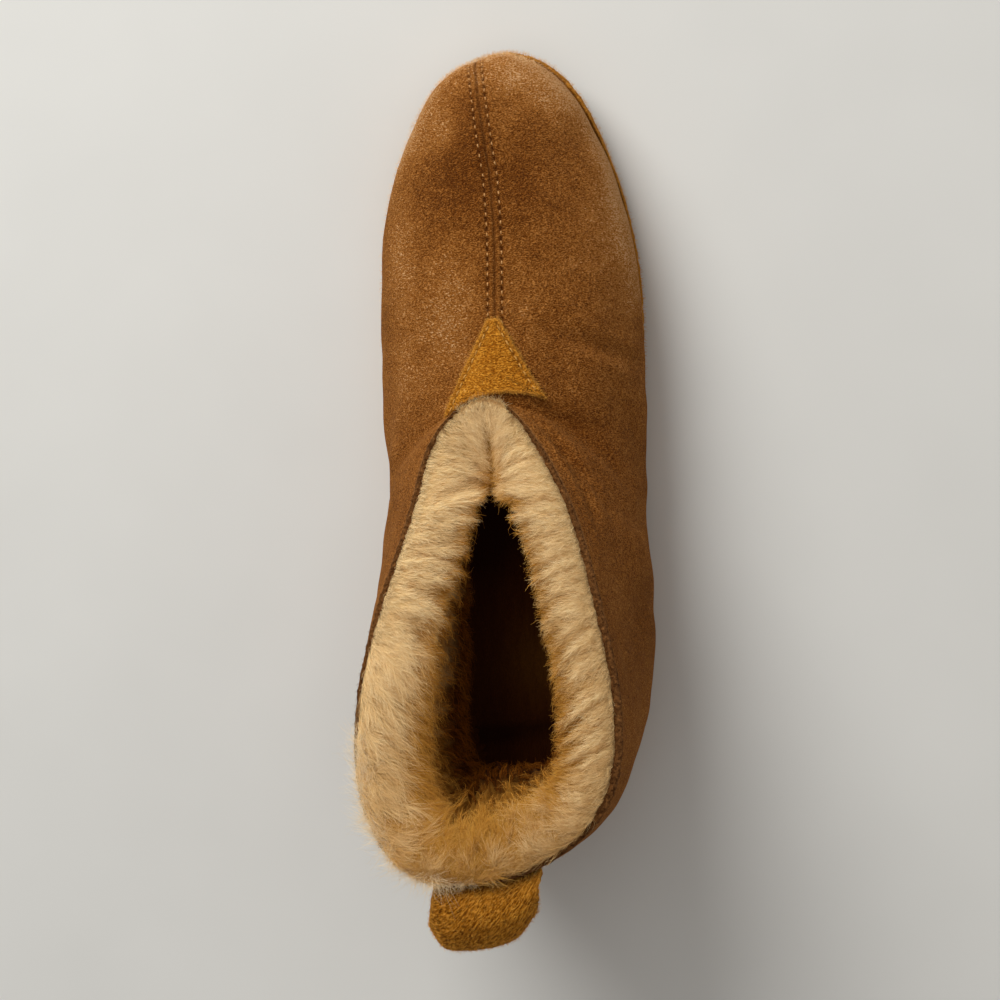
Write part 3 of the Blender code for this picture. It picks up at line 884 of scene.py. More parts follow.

# %% How the nap was brushed, and where shade and highlight are painted on it
# These patches are partly nap brushed another way and partly painted light: the paler ones on the toe's
# cap and shoulders and along the lateral flank are painted highlight, the darker medial and heel ones
# painted shade.
# where, its middle along and across, how long and wide, degrees turned, how much paler
NAP_AND_PAINTED_LIGHT_PATCHES = (
    ("toe, left of the seam", 243, -9.5, 13, 6, -8, -0.55),
    ("ball, left of the seam", 225, -15, 14, 11, 0, -0.62),
    ("ball, right of the seam", 219, 9, 14, 7, 0, -0.35),
    ("right of the seam", 241, 12, 8, 7, 0, -0.3),
    ("right of the ball", 224, 22, 12, 9, 0, -0.25),
    ("toe cap", 262, 6, 8, 22, 0, 1),
    ("toe shoulder, lateral", 246, -21, 10, 6, -20, 0.8),
    ("toe shoulder, medial", 251, 18, 8, 6, 20, 0.6),
    ("lateral toe side", 240, -31, 22, 7, -20, 0.7),
    ("lateral instep", 178, -20, 24, 11, 0, 0.7),
    ("lateral flank", 203, -35, 26, 6, 0, 0.8),
    ("lateral waist", 154, -34, 22, 7, 0, 0.45),
    ("beside the patch", 158, 27, 7, 13, 0, 0.12),
    ("beside the patch's point", 176, 5, 15, 7, 0, 0.34),
    ("medial ball", 205, 33, 22, 6, 0, 0.25),
    ("lateral half", 205, -30, 55, 15, 0, -0.30),
    ("medial half", 200, 27, 45, 12, 0, 0.15),
    ("behind the patch, medial", 135, 26, 18, 10, 0, -0.40),
    ("behind the patch, medial side", 112, 34, 18, 8, 0, -0.30),
    ("medial heel", 70, 40, 20, 12, 0, -0.35),
    ("behind the medial heel", 42, 32, 10, 10, 0, 0.25),
)
# a cap on the nap's tone, its painted highlight and the painted sheen together
PALEST_NAP_AND_SHEEN = 1.6


def nap_and_painted_light_tone(points):
    """Soft patches laid on the skin from above: partly nap brushed lighter or darker, partly painted
    shade and painted highlight.
    """
    tone = np.zeros(len(points))
    for _, along, across, long, wide, turn, strength in NAP_AND_PAINTED_LIGHT_PATCHES:
        angle = np.radians(turn)
        ahead, beside = points[:, 0] - along, points[:, 1] - across
        first = (ahead * np.cos(angle) + beside * np.sin(angle)) / long
        second = (beside * np.cos(angle) - ahead * np.sin(angle)) / wide
        tone += strength * np.exp(-(first**2) - second**2)
    return tone


def painted_rim_sheen(points, normals):
    """A painted sheen: the vamp's rim is paler where the skin bends steeply down to the rand."""
    steep = smooth_step(1 - normals[:, 2], 0.30, 0.85)
    medial = smooth_step(points[:, 0], 165, 200) * (points[:, 1] > 0)
    lateral = smooth_step(points[:, 0], 205, 245) * (points[:, 1] <= 0)
    return 1.3 * steep * (medial + lateral)


# The nap's tone with its painted shade and highlight, and the rim's painted sheen, up to a cap
brushed = np.minimum(nap_and_painted_light_tone(points) + painted_rim_sheen(points, normals), PALEST_NAP_AND_SHEEN)
print("brushed tone from", brushed.min().round(2), "to", brushed.max().round(2))

# %% The finished skin
collar_edges = [skin_top(side * np.linspace(THROAT, HEEL, 300)) for side in (1, -1)]
from_edge = np.minimum(*(distance_to(points, resample(line, 0.5))[0] for line in collar_edges))
move_points(skin, points + normals * (relief * smooth_step(from_edge, 0, 3))[:, None])
# the seam's and the needle holes' values carry their painted shade
seam = 0.95 * bell(from_seam, 0.55) + 0.10 * sewn_row
keep_values(skin, seam=seam, needle=needle_hole, lip=bell(from_edge, 0.7), brushed=brushed)
finish_piece(skin, brown, "upper")
print("the skin's values:", [kept.name for kept in skin.data.attributes if kept.data_type == "FLOAT"])

# %% [markdown]
# ## Finding the skin again
#
# Other pieces lie on the skin. A tree of its faces answers two questions fast: what is straight below a
# spot, and what is nearest to it. The patch is stiffer than the skin and bridges its creases, so it reads
# the smooth skin from before they were pressed in. The stitches follow every crease, so they read the
# finished one.

# %% The skin's tree
skin_tree = tree_of(skin)


def shoe_direction(vector):
    return np.array([-vector[1], -vector[0], vector[2]])


def below(along, across):
    """The flattened skin's point and direction straight below a spot, in the slipper's sizes."""
    start = Vector(in_frame((along, across, 140)))
    point, normal, _, _ = smooth_tree.ray_cast(start, Vector((0, 0, -1)))
    return in_shoe(np.array(point)), shoe_direction(normal)


def nearest_on(tree, point):
    """The point of a surface that is nearest to this one, and the direction out of it there."""
    found, normal, _, _ = tree.find_nearest(Vector(in_frame(point)))
    return in_shoe(np.array(found)), shoe_direction(normal)


print("height of the instep at the patch:", round(below(165, -2)[0][2], 1), "mm")

# %% [markdown]
# ## Stitches
#
# A machine's lockstitch shows as short ends of thread that dive into needle holes. Each is a small arched
# tube. A curve with a bevel could draw each one, but a hundred curves are slow to edit, so one function
# makes every tube in a row and joins them into a single mesh.

# %% Thread


def thread_of(name, dark, light):
    """Waxed thread, a little uneven in colour."""
    finish = Finish(name, roughness=0.7, specular_ior_level=0.15)
    finish.use("Base Color", finish.ramp(finish.noise(1.2, 2), (0.3, dark), (0.7, light)))
    finish.bump(finish.noise(0.25, 1, stretch=(1, 1, 3)), 0.08, 0.6)
    return finish


tan_thread = thread_of("tan thread", (0.480, 0.220, 0.060), (0.720, 0.400, 0.150))
mustard_thread = thread_of("mustard thread", (0.500, 0.220, 0.034), (0.740, 0.400, 0.100))
print("nodes in each thread:", len(tan_thread.tree.nodes))

# %% Rows of thread ends


def tubes(name, lines, radius, sides=6):
    """One mesh of tubes along lines, which all have as many points. They taper at both ends."""
    lines = np.asarray(lines, float)
    count, length = lines.shape[:2]
    run = unit(np.gradient(lines, axis=1))
    up = np.array([0.0, 0.0, 1.0])
    side = unit(np.cross(run, up))
    over = np.cross(side, run)
    turn = np.linspace(0, 2 * np.pi, sides, endpoint=False)
    taper = radius * np.sqrt(1 - np.linspace(-0.96, 0.96, length) ** 4)
    ring = side[:, :, None] * np.cos(turn)[:, None] + over[:, :, None] * np.sin(turn)[:, None]
    points = lines[:, :, None] + ring * taper[None, :, None, None]
    at = np.arange(count * length * sides).reshape(count, length, sides)
    after = np.roll(at, -1, 2)
    faces = np.stack([at[:, :-1], after[:, :-1], after[:, 1:], at[:, 1:]], -1).reshape(-1, 4)
    return new_mesh(name, points.reshape(-1, 3), faces)


def stitch_row(tree, line, pitch, share, lift, sunk, offset=0.0):
    """Arched thread ends along a line that lies near a surface. Each covers a share of the pitch, and
    its ends are sunk by a share of its lift."""
    per_mm = 10
    line = resample(line, 1 / per_mm)
    found = []
    for start in np.arange(offset, len(line) / per_mm - pitch, pitch):
        spots = []
        for part in np.linspace(0, 1, 7):
            spot = line[int(per_mm * (start + pitch * ((1 - share) / 2 + share * part)))]
            point, normal = nearest_on(tree, spot)
            spots.append(point + normal * lift * (np.sin(np.pi * part) ** 0.6 - sunk))
        found.append(spots)
    return found


# %% Two rows beside the seam
ROW_START = 1.5  # along the seam, from the sole
UNDER_PATCH = 24.0  # of the seam, which the patch covers
THREAD_RADIUS = 0.23
SUNK = 0.35
LIFTS = {1: 0.38, -1: 0.28}  # of the stitches on either side


def beside_seam(side, start, end):
    """The line at the sewn row's distance from the seam, on one side of it."""
    part = seam_line[int(start / SEAM_READ) : int(end / SEAM_READ)]
    run = unit(np.gradient(part, axis=0))
    across = unit(np.cross(run, (0, 0, 1)))
    return part + side * across * SEAM_SPACING


stitches = []
for side, lift in LIFTS.items():
    line = beside_seam(side, ROW_START, seam_length - UNDER_PATCH)
    first = STITCH_PITCH - ROW_START
    stitches += stitch_row(skin_tree, line, STITCH_PITCH, STITCH_SHARE, lift, SUNK, first)
seam_stitches = tubes("seam_stitches", stitches, THREAD_RADIUS)
finish_piece(seam_stitches, tan_thread)
print(len(stitches), "stitches beside the seam")

# %% [markdown]
# ## The rand
#
# The rand is a strip of mustard suede that wraps the edge of the sole and comes up a little way over the
# upper. Its top edge is cut raw, so it is never quite straight, and short fibres stick out of it. At the
# medial ball and round the lateral side of the toe the full skin hides it, so it is pulled thinner there.
# A bevelled curve could follow the sole, but a strip that reads the skin's own slope hugs it all the way
# round.

# %% The mustard suede
MUSTARD = ((0.210, 0.060, 0.003), (0.480, 0.165, 0.011), (0.740, 0.320, 0.036))
MUSTARD_SHEEN = (0.9, 0.5, 0.12)
RAW_MUSTARD = (0.620, 0.290, 0.050)
SEWN_GROOVE_SHADE = (0.050, 0.017, 0.004)

mustard, mustard_colour = suede("mustard suede", MUSTARD, MUSTARD_SHEEN, MUSTARD_NAP_MM)
mustard_colour = mustard.mix(mustard.attribute("raw") * 0.5, mustard_colour, RAW_MUSTARD)
# Painted shade in the patch's sewn grooves
mustard_colour = mustard.mix(mustard.attribute("needle") * 0.8, mustard_colour, SEWN_GROOVE_SHADE)
mustard.use("Base Color", mustard_colour)
print("nodes in the mustard suede:", len(mustard.tree.nodes))

# %% Spots on the skin at a height


def steps_at(place, height):
    """The step on each outer section where it reaches this height."""
    steps = np.linspace(0, 1, 161)
    heights = outer_sections(place, steps)[:, :, 2]
    return np.array([np.interp(wanted, line, steps) for wanted, line in zip(height, heights)])[:, None]


def skin_and_direction(place, step):
    """One point on each outer section, and the direction out of the skin there."""
    near = 0.02
    step = np.clip(step, near, 0.95)
    upward = outer_sections(place, step + near) - outer_sections(place, step - near)
    round_it = outer_sections(place + near, step) - outer_sections(place - near, step)
    return outer_sections(place, step)[:, 0], unit(np.cross(round_it, upward))[:, 0]


def whole_way(count):
    """Places once round the shoe, from the toe along the medial side and back along the lateral one."""
    return np.concatenate([np.linspace(0, HEEL, count), np.linspace(-HEEL, 0, count)[1:]])


# %% The rand's strip
RAND_GAP = 0.5
RAND_TOP_THICKNESS = 0.95
RAND_LIP = 0.5  # under the skin's foot, so that nothing shows between them
rand_places = whole_way(360)
edge, away = feather(rand_places), outward(rand_places)
foot_height = sole_top(edge[:, 0])
low_height = sole_bottom(edge[:, 0]) + SOLE_EDGE
rise = RAND_RISE + 0.22 * np.sin(rand_places * 5.3) + 0.2 * np.sin(rand_places * 13.7 + 1) + SEAT_GAP
on_skin, skin_way = skin_and_direction(rand_places, steps_at(rand_places, foot_height + rise))


def beside_sole(offset, height):
    return np.column_stack([edge + away * offset, height])


medial_ball = rise_and_fall(rand_places, 2.2, 3.6, 6.0, 7.5)
lateral_toe = rise_and_fall(-rand_places, -0.6, 0.4, 4.4, 5.8)
far = (SEAT_GAP + RAND_THICKNESS - 0.7 * medial_ball - 0.8 * lateral_toe)[:, None]
middle_height = 0.5 * (low_height + foot_height)
top_thickness = (RAND_TOP_THICKNESS - 0.4 * medial_ball - 0.45 * lateral_toe)[:, None]
top_far = on_skin + skin_way * (RAND_GAP + top_thickness)
top_near = on_skin + skin_way * RAND_GAP
shoulder_line = 0.5 * (beside_sole(far, foot_height) + top_far)
profile = [
    beside_sole(SEAT_GAP, low_height),
    beside_sole(far - 0.5, low_height),
    beside_sole(far, low_height + 0.5),
    beside_sole(far, 0.5 * (low_height + middle_height)),
    beside_sole(far, middle_height),
    beside_sole(far, 0.5 * (foot_height + middle_height)),
    beside_sole(far, foot_height),
    shoulder_line + skin_way * 0.1,
    top_far - np.array([0, 0, 0.45]),
    0.8 * top_far + 0.2 * top_near + np.array([0, 0, 0.05]),
    0.3 * top_far + 0.7 * top_near + np.array([0, 0, 0.1]),
    top_near - np.array([0, 0, 0.35]),
    beside_sole(-RAND_LIP, foot_height + 0.05),
    beside_sole(SEAT_GAP, foot_height - 0.6),
    beside_sole(SEAT_GAP, low_height),
]
rand = sheets_object("rand_strip", [np.stack(profile, 1)])
facing_out(rand, (140, -2, 12))
points = roughen(rand, (0.16, 4.2), (0.10, 1.9))
from_top, _ = distance_to(points, np.concatenate([profile[9], profile[10]]))
keep_values(rand, raw=bell(from_top, 0.9), needle=np.zeros(len(points)))
finish_piece(rand, mustard, "rand")
print("it comes up to", round(float(rise.max()), 1), "mm above the sole")

# %% [markdown]
# ## The throat patch
#
# A small triangle of mustard suede covers the end of the seam, where the two skins pull apart in wear. It
# is cut from flat skin, so its edges are raw and square, and a row of thread holds both slanted sides.
# Its base isn't sewn, and has come up a little on the medial side. A flat plate could be bent with a
# modifier. But rings of points that shrink from its outline can be laid on the skin one by one, and then
# it bends over the instep just as the skin does.

# %% The patch's outline
PATCH_THICKNESS = 1.3
PATCH_MIDDLE = np.array([160.0, -2.0])
# corner, along, across
PATCH_OUTLINE = (
    ("point, medial", 177.6, -0.4),
    ("medial corner", 151, 13.5),
    ("base", 152.7, 8),
    ("base", 153.4, 2),
    ("base", 153, -3.5),
    ("base", 151.2, -10),
    ("lateral corner", 146.4, -18.5),
    ("point, lateral", 177.6, -4),
)


def closed_line(corners, spacing):
    """A closed outline, as points at about this spacing, with its corners rounded a little."""
    corners = np.asarray(corners, float)
    line = resample(np.vstack([corners, corners[:1]]), spacing)
    for _ in range(6):
        line = (np.roll(line, 1, 0) + 2 * line + np.roll(line, -1, 0)) / 4
    return line


outline = closed_line([(*row[1:], 0.0) for row in PATCH_OUTLINE], 0.35)[:, :2]
outline += 0.07 * chance.normal(size=outline.shape)
print("points on the patch's outline:", len(outline))

# %% The patch from rings


def corner_curl(spots):
    """The medial half of the base has come away from the skin and curls up a little."""
    return bell(spots[:, 0], 4.5, 152.0) * smooth_step(spots[:, 1], -6.0, 8.0)


def on_top_of_skin(level_points, lift):
    """Points straight above or below these spots, lifted off the skin."""
    found = []
    for spot, height in zip(level_points, lift):
        point, normal = below(*spot)
        found.append(point + normal * height)
    return np.array(found)


# size, as a share of the outline, and how far off the skin
PATCH_EDGE = ((1.0, 0.10), (1.012, 0.75), (1.004, 1.28), (0.975, 1.55), (0.94, 1.62), (0.89, 1.60))
PATCH_SEWN = ((0.84, 1.52), (0.79, 1.62), (0.72, 1.68), (0.60, 1.66))
PATCH_INSIDE = ((0.46, 1.64), (0.32, 1.62), (0.18, 1.60), (0.06, 1.60), (0.0, 1.60))
rings = []
for share, lift in PATCH_EDGE + PATCH_SEWN + PATCH_INSIDE:
    spots = PATCH_MIDDLE + (outline - PATCH_MIDDLE) * share
    curl = 1.1 * corner_curl(spots) if lift > 0.5 else 0
    rings.append(on_top_of_skin(spots, np.full(len(spots), lift) + curl))
rings = np.array(rings)
rings = np.concatenate([rings, rings[:, :1]], 1)
patch = sheets_object("throat_triangle", [rings])
facing_out(patch, (160, -2, 20))
points = roughen(patch, (0.06, 1.6), (0.05, 3.5))
from_raw, _ = distance_to(points, rings[2])
print("rings in the patch:", len(rings))

# %% The patch's sewn sides
PATCH_INSET = 1.5


def thread_line(start, end, inset):
    """A straight line inside the patch's slanted side, on its upper surface."""
    start, end = np.array(start), np.array(end)
    way = unit(end - start)
    inward = np.array([way[1], -way[0]])
    if np.dot(inward, PATCH_MIDDLE - start) < 0:
        inward = -inward
    spots = [start + (end - start) * share + inward * inset for share in np.linspace(0.05, 0.95, 60)]
    return on_top_of_skin(spots, np.full(60, PATCH_THICKNESS + SEAT_GAP))


patch_rows = [
    thread_line(PATCH_OUTLINE[0][1:], PATCH_OUTLINE[1][1:], PATCH_INSET),
    thread_line(PATCH_OUTLINE[-1][1:], PATCH_OUTLINE[-2][1:], PATCH_INSET),
]
from_row, _ = distance_to(points, np.concatenate([resample(line, 0.2) for line in patch_rows]))
row_groove = bell(from_row, 0.45)
points, normals = points_of(patch)
move_points(patch, points - normals * (0.28 * row_groove)[:, None])
# the grooves of the sewn rows carry their painted shade
keep_values(patch, raw=bell(from_raw, 0.8), needle=0.6 * row_groove)
finish_piece(patch, mustard, "throat_patch")
print("each sewn side in mm:", [round(float(length_so_far(line)[-1])) for line in patch_rows])

# %% Thread on the patch
PATCH_PITCH = 2.9
PATCH_SHARE = 0.62
PATCH_LIFT = 0.34
PATCH_SUNK = 0.3
PATCH_THREAD_RADIUS = 0.24
patch_tree = tree_of(patch)
stitches = []
for line in patch_rows:
    stitches += stitch_row(patch_tree, line, PATCH_PITCH, PATCH_SHARE, PATCH_LIFT, PATCH_SUNK)
patch_stitches = tubes("patch_stitches", stitches, PATCH_THREAD_RADIUS)
finish_piece(patch_stitches, mustard_thread)
print(len(stitches), "stitches on the patch")

# %% [markdown]
# ## The pull loop
#
# A folded strap of the same suede is sewn to the heel by both ends, and stands off as a handle. Its path
# is a dozen spots over the heel's back, and a smooth curve runs through them. The path is repeated at
# many places over its width, so that the strap lies flat on the round heel where it is sewn and opens to
# a soft fold further out.

# %% The strap's path
STRAP_THICKNESS = 2.0
# spot, height, how far it stands off the heel
STRAP_PATH = (
    ("upper end", 95, 0),
    ("upper seam", 100.2, 0),
    ("turn", 103.7, 1.6),
    ("top", 105, 6),
    ("top", 103.2, 11.8),
    ("fold", 97.8, 17.2),
    ("fold", 90, 19),
    ("fold", 82.2, 15.8),
    ("return", 76, 8.8),
    ("turn", 71, 2.6),
    ("lower seam", 66.4, 0),
    ("lower end", 61, 0),
)
STRAP_WIDTH = 31.5
STRAP_MIDDLE = -5.4
STRAP_SWING = 10.0
STRAP_ASIDE = 4.5
WALL_TOP = 102.0
STRAP_ROUNDING = 0.35
BACK_REACH = 1.5
print("spots on the strap's path:", len(STRAP_PATH))

# %% The strap laid over the heel
STRAP_ROWS = 120
STRAP_PARTS = 40


def smooth_line(points, count):
    """A smooth curve through points, read at this many even places."""
    points = np.asarray(points, float)
    padded = np.concatenate([[2 * points[0] - points[1]], points, [2 * points[-1] - points[-2]]])
    at = np.linspace(0, len(points) - 1, count)
    low = np.minimum(at.astype(int), len(points) - 2)
    t = (at - low)[:, None]
    a, b, c, d = (padded[low + k] for k in range(4))
    square, cube = 2 * a - 5 * b + 4 * c - d, 3 * b - a - 3 * c + d
    return 0.5 * (2 * b + (c - a) * t + square * t**2 + cube * t**3)


back_places = np.linspace(HEEL - BACK_REACH, HEEL + BACK_REACH, 25)
swing = np.radians(STRAP_SWING)
back_way = np.array([-np.cos(swing), -np.sin(swing), 0.0])


def strap_line(share):
    """The strap's path at a share of its half width. Its lower end is sewn more to the lateral side."""
    found = []
    for number, (_, height, stand_off) in enumerate(STRAP_PATH):
        aside = STRAP_ASIDE * smooth_step(number, 4.0, 9.0)
        across = STRAP_MIDDLE - aside - share * STRAP_WIDTH / 2
        wall = np.full(len(back_places), min(height, WALL_TOP))
        steps = steps_at(back_places, wall)
        sides = outer_sections(back_places, steps)[:, 0, 1]
        place = np.array([np.interp(-across, -sides, back_places)])
        point, normal = skin_and_direction(place, steps_at(place, wall[:1]))
        middle = point[0] + normal[0] * (SEAT_GAP + STRAP_THICKNESS / 2)
        middle[2] = height
        found.append(middle + back_way * stand_off * (1 - STRAP_ROUNDING * abs(share) ** 5))
    return found


coarse = np.array([strap_line(share) for share in np.linspace(-1, 1, 9)])
lengthwise = np.array([smooth_line(line, STRAP_ROWS) for line in coarse])
strap = np.array([smooth_line(lengthwise[:, k], STRAP_PARTS) for k in range(STRAP_ROWS)])
strap_length = float(length_so_far(strap[:, STRAP_PARTS // 2])[-1])
print("strap length", round(strap_length, 1), "mm")

# %% [markdown]
# ## The loop's long nap
#
# The loop's suede is much coarser than the patch's. Its fibres are a millimetre or two long and lie side
# by side, at a slant over the strap. Stretched noise would do on a flat strap, but this one folds over.
# So every point keeps its own distance along and across the nap, and the noise reads those two instead of
# the point's place.

# %% Long-napped suede
LOOP_COLOURS = ((0.125, 0.034, 0.001), (0.455, 0.160, 0.009), (0.830, 0.380, 0.048))
NAP_STRETCH = 0.32
loop_suede = Finish(
    "long mustard nap",
    roughness=0.95,
    sheen_weight=0.25,
    sheen_roughness=0.4,
    sheen_tint=(0.8, 0.4, 0.06),
    specular_ior_level=0.06,
)
nap_across = loop_suede.attribute("nap_across")
nap_along = loop_suede.attribute("nap_along") * NAP_STRETCH
tufts = loop_suede.strands(nap_across, nap_along, (1.5, 3, 0.7))
loop_tone = tufts.between(0.38, 0.62) * 0.8 + loop_suede.noise(9, 2).between(0.3, 0.7) * 0.2
loop_colour = loop_suede.ramp(loop_tone, *zip((0.05, 0.5, 0.95), LOOP_COLOURS))
loop_colour = loop_suede.mix(loop_suede.attribute("raw") * 0.4, loop_colour, RAW_MUSTARD)
loop_suede.use("Base Color", loop_colour)
loop_suede.bump(tufts.between(0.3, 0.7), 0.7)
print("nodes in the long nap:", len(loop_suede.tree.nodes))

# %% The strap as a closed band
run = unit(np.gradient(strap, axis=0))
width_way = unit(np.gradient(strap, axis=1))
face = unit(np.cross(run, width_way))
half = STRAP_THICKNESS / 2
outer_face = strap + face * half
inner_face = strap - face * half
inset = width_way * 0.45
first_edge = [strap[:, :1] - inset[:, :1] * 0.3 + face[:, :1] * half * k for k in (0.7, 0.0, -0.7)]
last_edge = [strap[:, -1:] + inset[:, -1:] * 0.3 + face[:, -1:] * half * k for k in (-0.7, 0.0, 0.7)]
rounds = [outer_face[:, ::-1], *first_edge, inner_face, *last_edge, outer_face[:, -1:]]
ends = [np.stack([outer_face[k], inner_face[k]]) for k in (0, -1)]
pull_loop = sheets_object("pull_loop_strap", [np.concatenate(rounds, 1), *ends])
points = roughen(pull_loop, (0.09, 2.1), (0.12, 6))
print("ends of the strap:", len(ends))

# %% The nap's lie on the strap
NAP_SLANT = 33.0
edges = np.concatenate([strap[:, 0], strap[:, -1], strap[0], strap[-1]])
from_raw, _ = distance_to(points, edges)
_, nearest = distance_to(points, strap.reshape(-1, 3))
row_number, part_number = np.divmod(nearest, STRAP_PARTS)
off = points - strap.reshape(-1, 3)[nearest]
beyond_row = np.sum(off * run.reshape(-1, 3)[nearest], 1)
beyond_part = np.sum(off * width_way.reshape(-1, 3)[nearest], 1)
lengthwise_mm = row_number * strap_length / STRAP_ROWS + beyond_row
crosswise_mm = part_number * STRAP_WIDTH / STRAP_PARTS + beyond_part
slant = np.radians(NAP_SLANT)
keep_values(
    pull_loop,
    raw=bell(from_raw, 1.1),
    nap_along=lengthwise_mm * np.cos(slant) + crosswise_mm * np.sin(slant),
    nap_across=crosswise_mm * np.cos(slant) - lengthwise_mm * np.sin(slant),
)
finish_piece(pull_loop, loop_suede, "pull_loop")
print("the nap lies", NAP_SLANT, "degrees from the strap's length")

# %% [markdown]
# ## The outsole
#
# The sole is hidden when the slipper stands, but anyone who turns the model over sees it. It is a plain
# rubber sole with shallow wavy ribs. The ribs are cut upwards into it, so that the sole still stands
# where the solid does.

# %% The rubber
rubber = Finish("brown rubber", roughness=0.72, specular_ior_level=0.35)
speckle = rubber.noise(1.1, 3, 0.7)
dust = rubber.noise(24, 2)
rubber_tone = speckle.between(0.35, 0.7) * 0.55 + dust.between(0.3, 0.7) * 0.45
rubber_colour = rubber.ramp(rubber_tone, (0.1, (0.075, 0.040, 0.022)), (0.9, (0.135, 0.078, 0.042)))
rubber.use("Base Color", rubber_colour)
rubber.use("Roughness", rubber_tone * 0.2 + 0.62)
rubber.bump(rubber.noise(0.7, 2, 0.7), 0.12, 0.7)
print("nodes in the rubber:", len(rubber.tree.nodes))

# %% The underside with its ribs
RIB_PITCH = 5.5
RIB_DEPTH = 0.9
RIB_SWAY = 2.2
RIB_SWAY_PITCH = 17
SOLE_END = 269
sole_places = np.linspace(0, HEEL, 300)
rails = []
for side in (1, -1):
    edge, away = feather(side * sole_places), outward(side * sole_places)
    rails.append(edge - away * SOLE_EDGE)
shares = np.linspace(0, 1, 44)[None, :, None]
under = rails[0][:, None] * (1 - shares) + rails[1][:, None] * shares
half_width = 0.5 * np.linalg.norm(rails[0] - rails[1], axis=1)[:, None]
from_side = np.minimum(shares[:, :, 0], 1 - shares[:, :, 0]) * 2 * half_width
from_end = np.minimum(under[..., 0] - 1, SOLE_END - under[..., 0])
border = smooth_step(from_side, 3.0, 4.5) * smooth_step(from_end, 3, 5)
wave = under[..., 0] + RIB_SWAY * np.sin(under[..., 1] * 2 * np.pi / RIB_SWAY_PITCH)
rib = smooth_step(np.cos(2 * np.pi * wave / RIB_PITCH), 0.1, 0.55)
height = sole_bottom(under[..., 0]) + RIB_DEPTH * rib * border
underside = np.concatenate([under, height[..., None]], -1)
print("ribs under the sole:", round(SOLE_END / RIB_PITCH))

# %% The sole's sides and top
ring_places = whole_way(300)
edge, away = feather(ring_places), outward(ring_places)
bottom, top = sole_bottom(edge[:, 0]), sole_top(edge[:, 0])
side_rows = []
for turn in np.linspace(0, np.pi / 2, 5):
    pull = SOLE_EDGE * (1 - np.sin(turn))
    side_rows.append(np.column_stack([edge - away * pull, bottom + SOLE_EDGE * (1 - np.cos(turn))]))
side_rows.append(np.column_stack([edge, top]))
edges = (feather(sole_places), feather(-sole_places))
lid = np.stack([np.column_stack([edge, sole_top(edge[:, 0])]) for edge in edges], 1)
outsole = sheets_object("outsole_rubber", [underside, np.stack(side_rows, 1), lid])
finish_piece(outsole, rubber, "outsole")

# %% [markdown]
# ## The wool: its ground
#
# Shearling wool grows out of the skin's inner side, is about fifteen millimetres long, and spills over
# the collar. What shows between its locks is the shadowed lower part of the wool. So there is a ground
# sheet just under the wool's outer face, and the hair goes over it. The ground runs over the rim, down
# the inner wall, and along the inside of the toe. Its colour turns from the collar's pale gold to a dark
# brown on the way down, and that dark brown is painted shade.

# %% Wool colours
WOOL_BINS = 48


def wool(name, golden, cream, glow=0.0, sheen=0.0):
    """A finish for hair. Its map's width holds each hair's tint, from golden to cream, and its height
    goes from the hair's root to its tip. The glow stands for light that wanders through pale wool."""
    finish = Finish(
        name,
        roughness=0.9,
        sheen_weight=sheen,
        sheen_roughness=0.5,
        sheen_tint=(1.0, 0.86, 0.62),
        specular_ior_level=0.08,
        emission_strength=glow,
    )
    flat = finish.add("ShaderNodeUVMap", {"uv_map": "OFBake"})
    across = finish.add("ShaderNodeSeparateXYZ", {}, {"Vector": flat}, output="X")
    upward = finish.add("ShaderNodeSeparateXYZ", {}, {"Vector": flat}, output="Y")
    tint = (across * WOOL_BINS).math("FLOOR") * (1 / WOOL_BINS)
    root_to_tip = (0.05, 0.5, 0.95)
    golden_hair = finish.ramp(upward, *zip(root_to_tip, golden))
    cream_hair = finish.ramp(upward, *zip(root_to_tip, cream))
    colour = finish.mix(tint, golden_hair, cream_hair)
    finish.use("Base Color", colour)
    if glow:
        finish.use("Emission Color", colour)
    return finish


# Each from root to tip
# the inner wool's darkest colours, painted shade for hair deep inside the slipper
DEEP_SHADE_WOOL = ((0.050, 0.011, 0.0006), (0.130, 0.034, 0.001), (0.220, 0.068, 0.003))
INNER_GOLD = ((0.390, 0.150, 0.014), (0.570, 0.260, 0.038), (0.690, 0.370, 0.078))
GOLDEN = ((0.330, 0.134, 0.014), (0.520, 0.238, 0.032), (0.640, 0.340, 0.066))
CREAM = ((0.740, 0.500, 0.205), (0.920, 0.690, 0.350), (0.980, 0.810, 0.490))

# Once round the collar: 0 at the throat, 7 at the heel, 14 at the throat again by the lateral side
TINT_WAY = (0.0, 1.0, 2.2, 3.6, 5.0, 6.0, 7.0, 8.0, 9.0, 10.5, 12.0, 13.2, 14.0)
# How pale the wool is round the collar: partly its own cream and gold, partly painted light,
# lower on the shaded medial side and higher on the lit lateral side
TINT_WITH_PAINTED_LIGHT = (0.66, 0.88, 0.80, 0.66, 0.54, 0.36, 0.08, 0.16, 0.46, 0.88, 0.98, 0.88, 0.72)
EDGE_WAY = (0.0, 0.5, 1.2, 2.5, 4.4, 5.8, 7.0, 8.2, 9.0, 10.5, 12.5, 13.5, 14.0)
EDGE_WIDTH = (0.15, 0.5, 1.4, 2.0, 2.3, 1.3, 0.7, 0.5, 0.6, 1.3, 1.4, 0.6, 0.15)
print("the cut edge is at most", max(EDGE_WIDTH), "mm wide")

# %% The ground's finish
STREAK_STRETCH = 0.16
# painted shade for the ground deep inside the slipper
DEEP_SHADE_DARK = (0.033, 0.006, 0.001)
DEEP_SHADE_LIGHT = (0.058, 0.015, 0.001)
ROOT_SHADE_COLOUR = (0.230, 0.140, 0.070)
IN_SHADE = (0.012, 0.002, 0.0004)
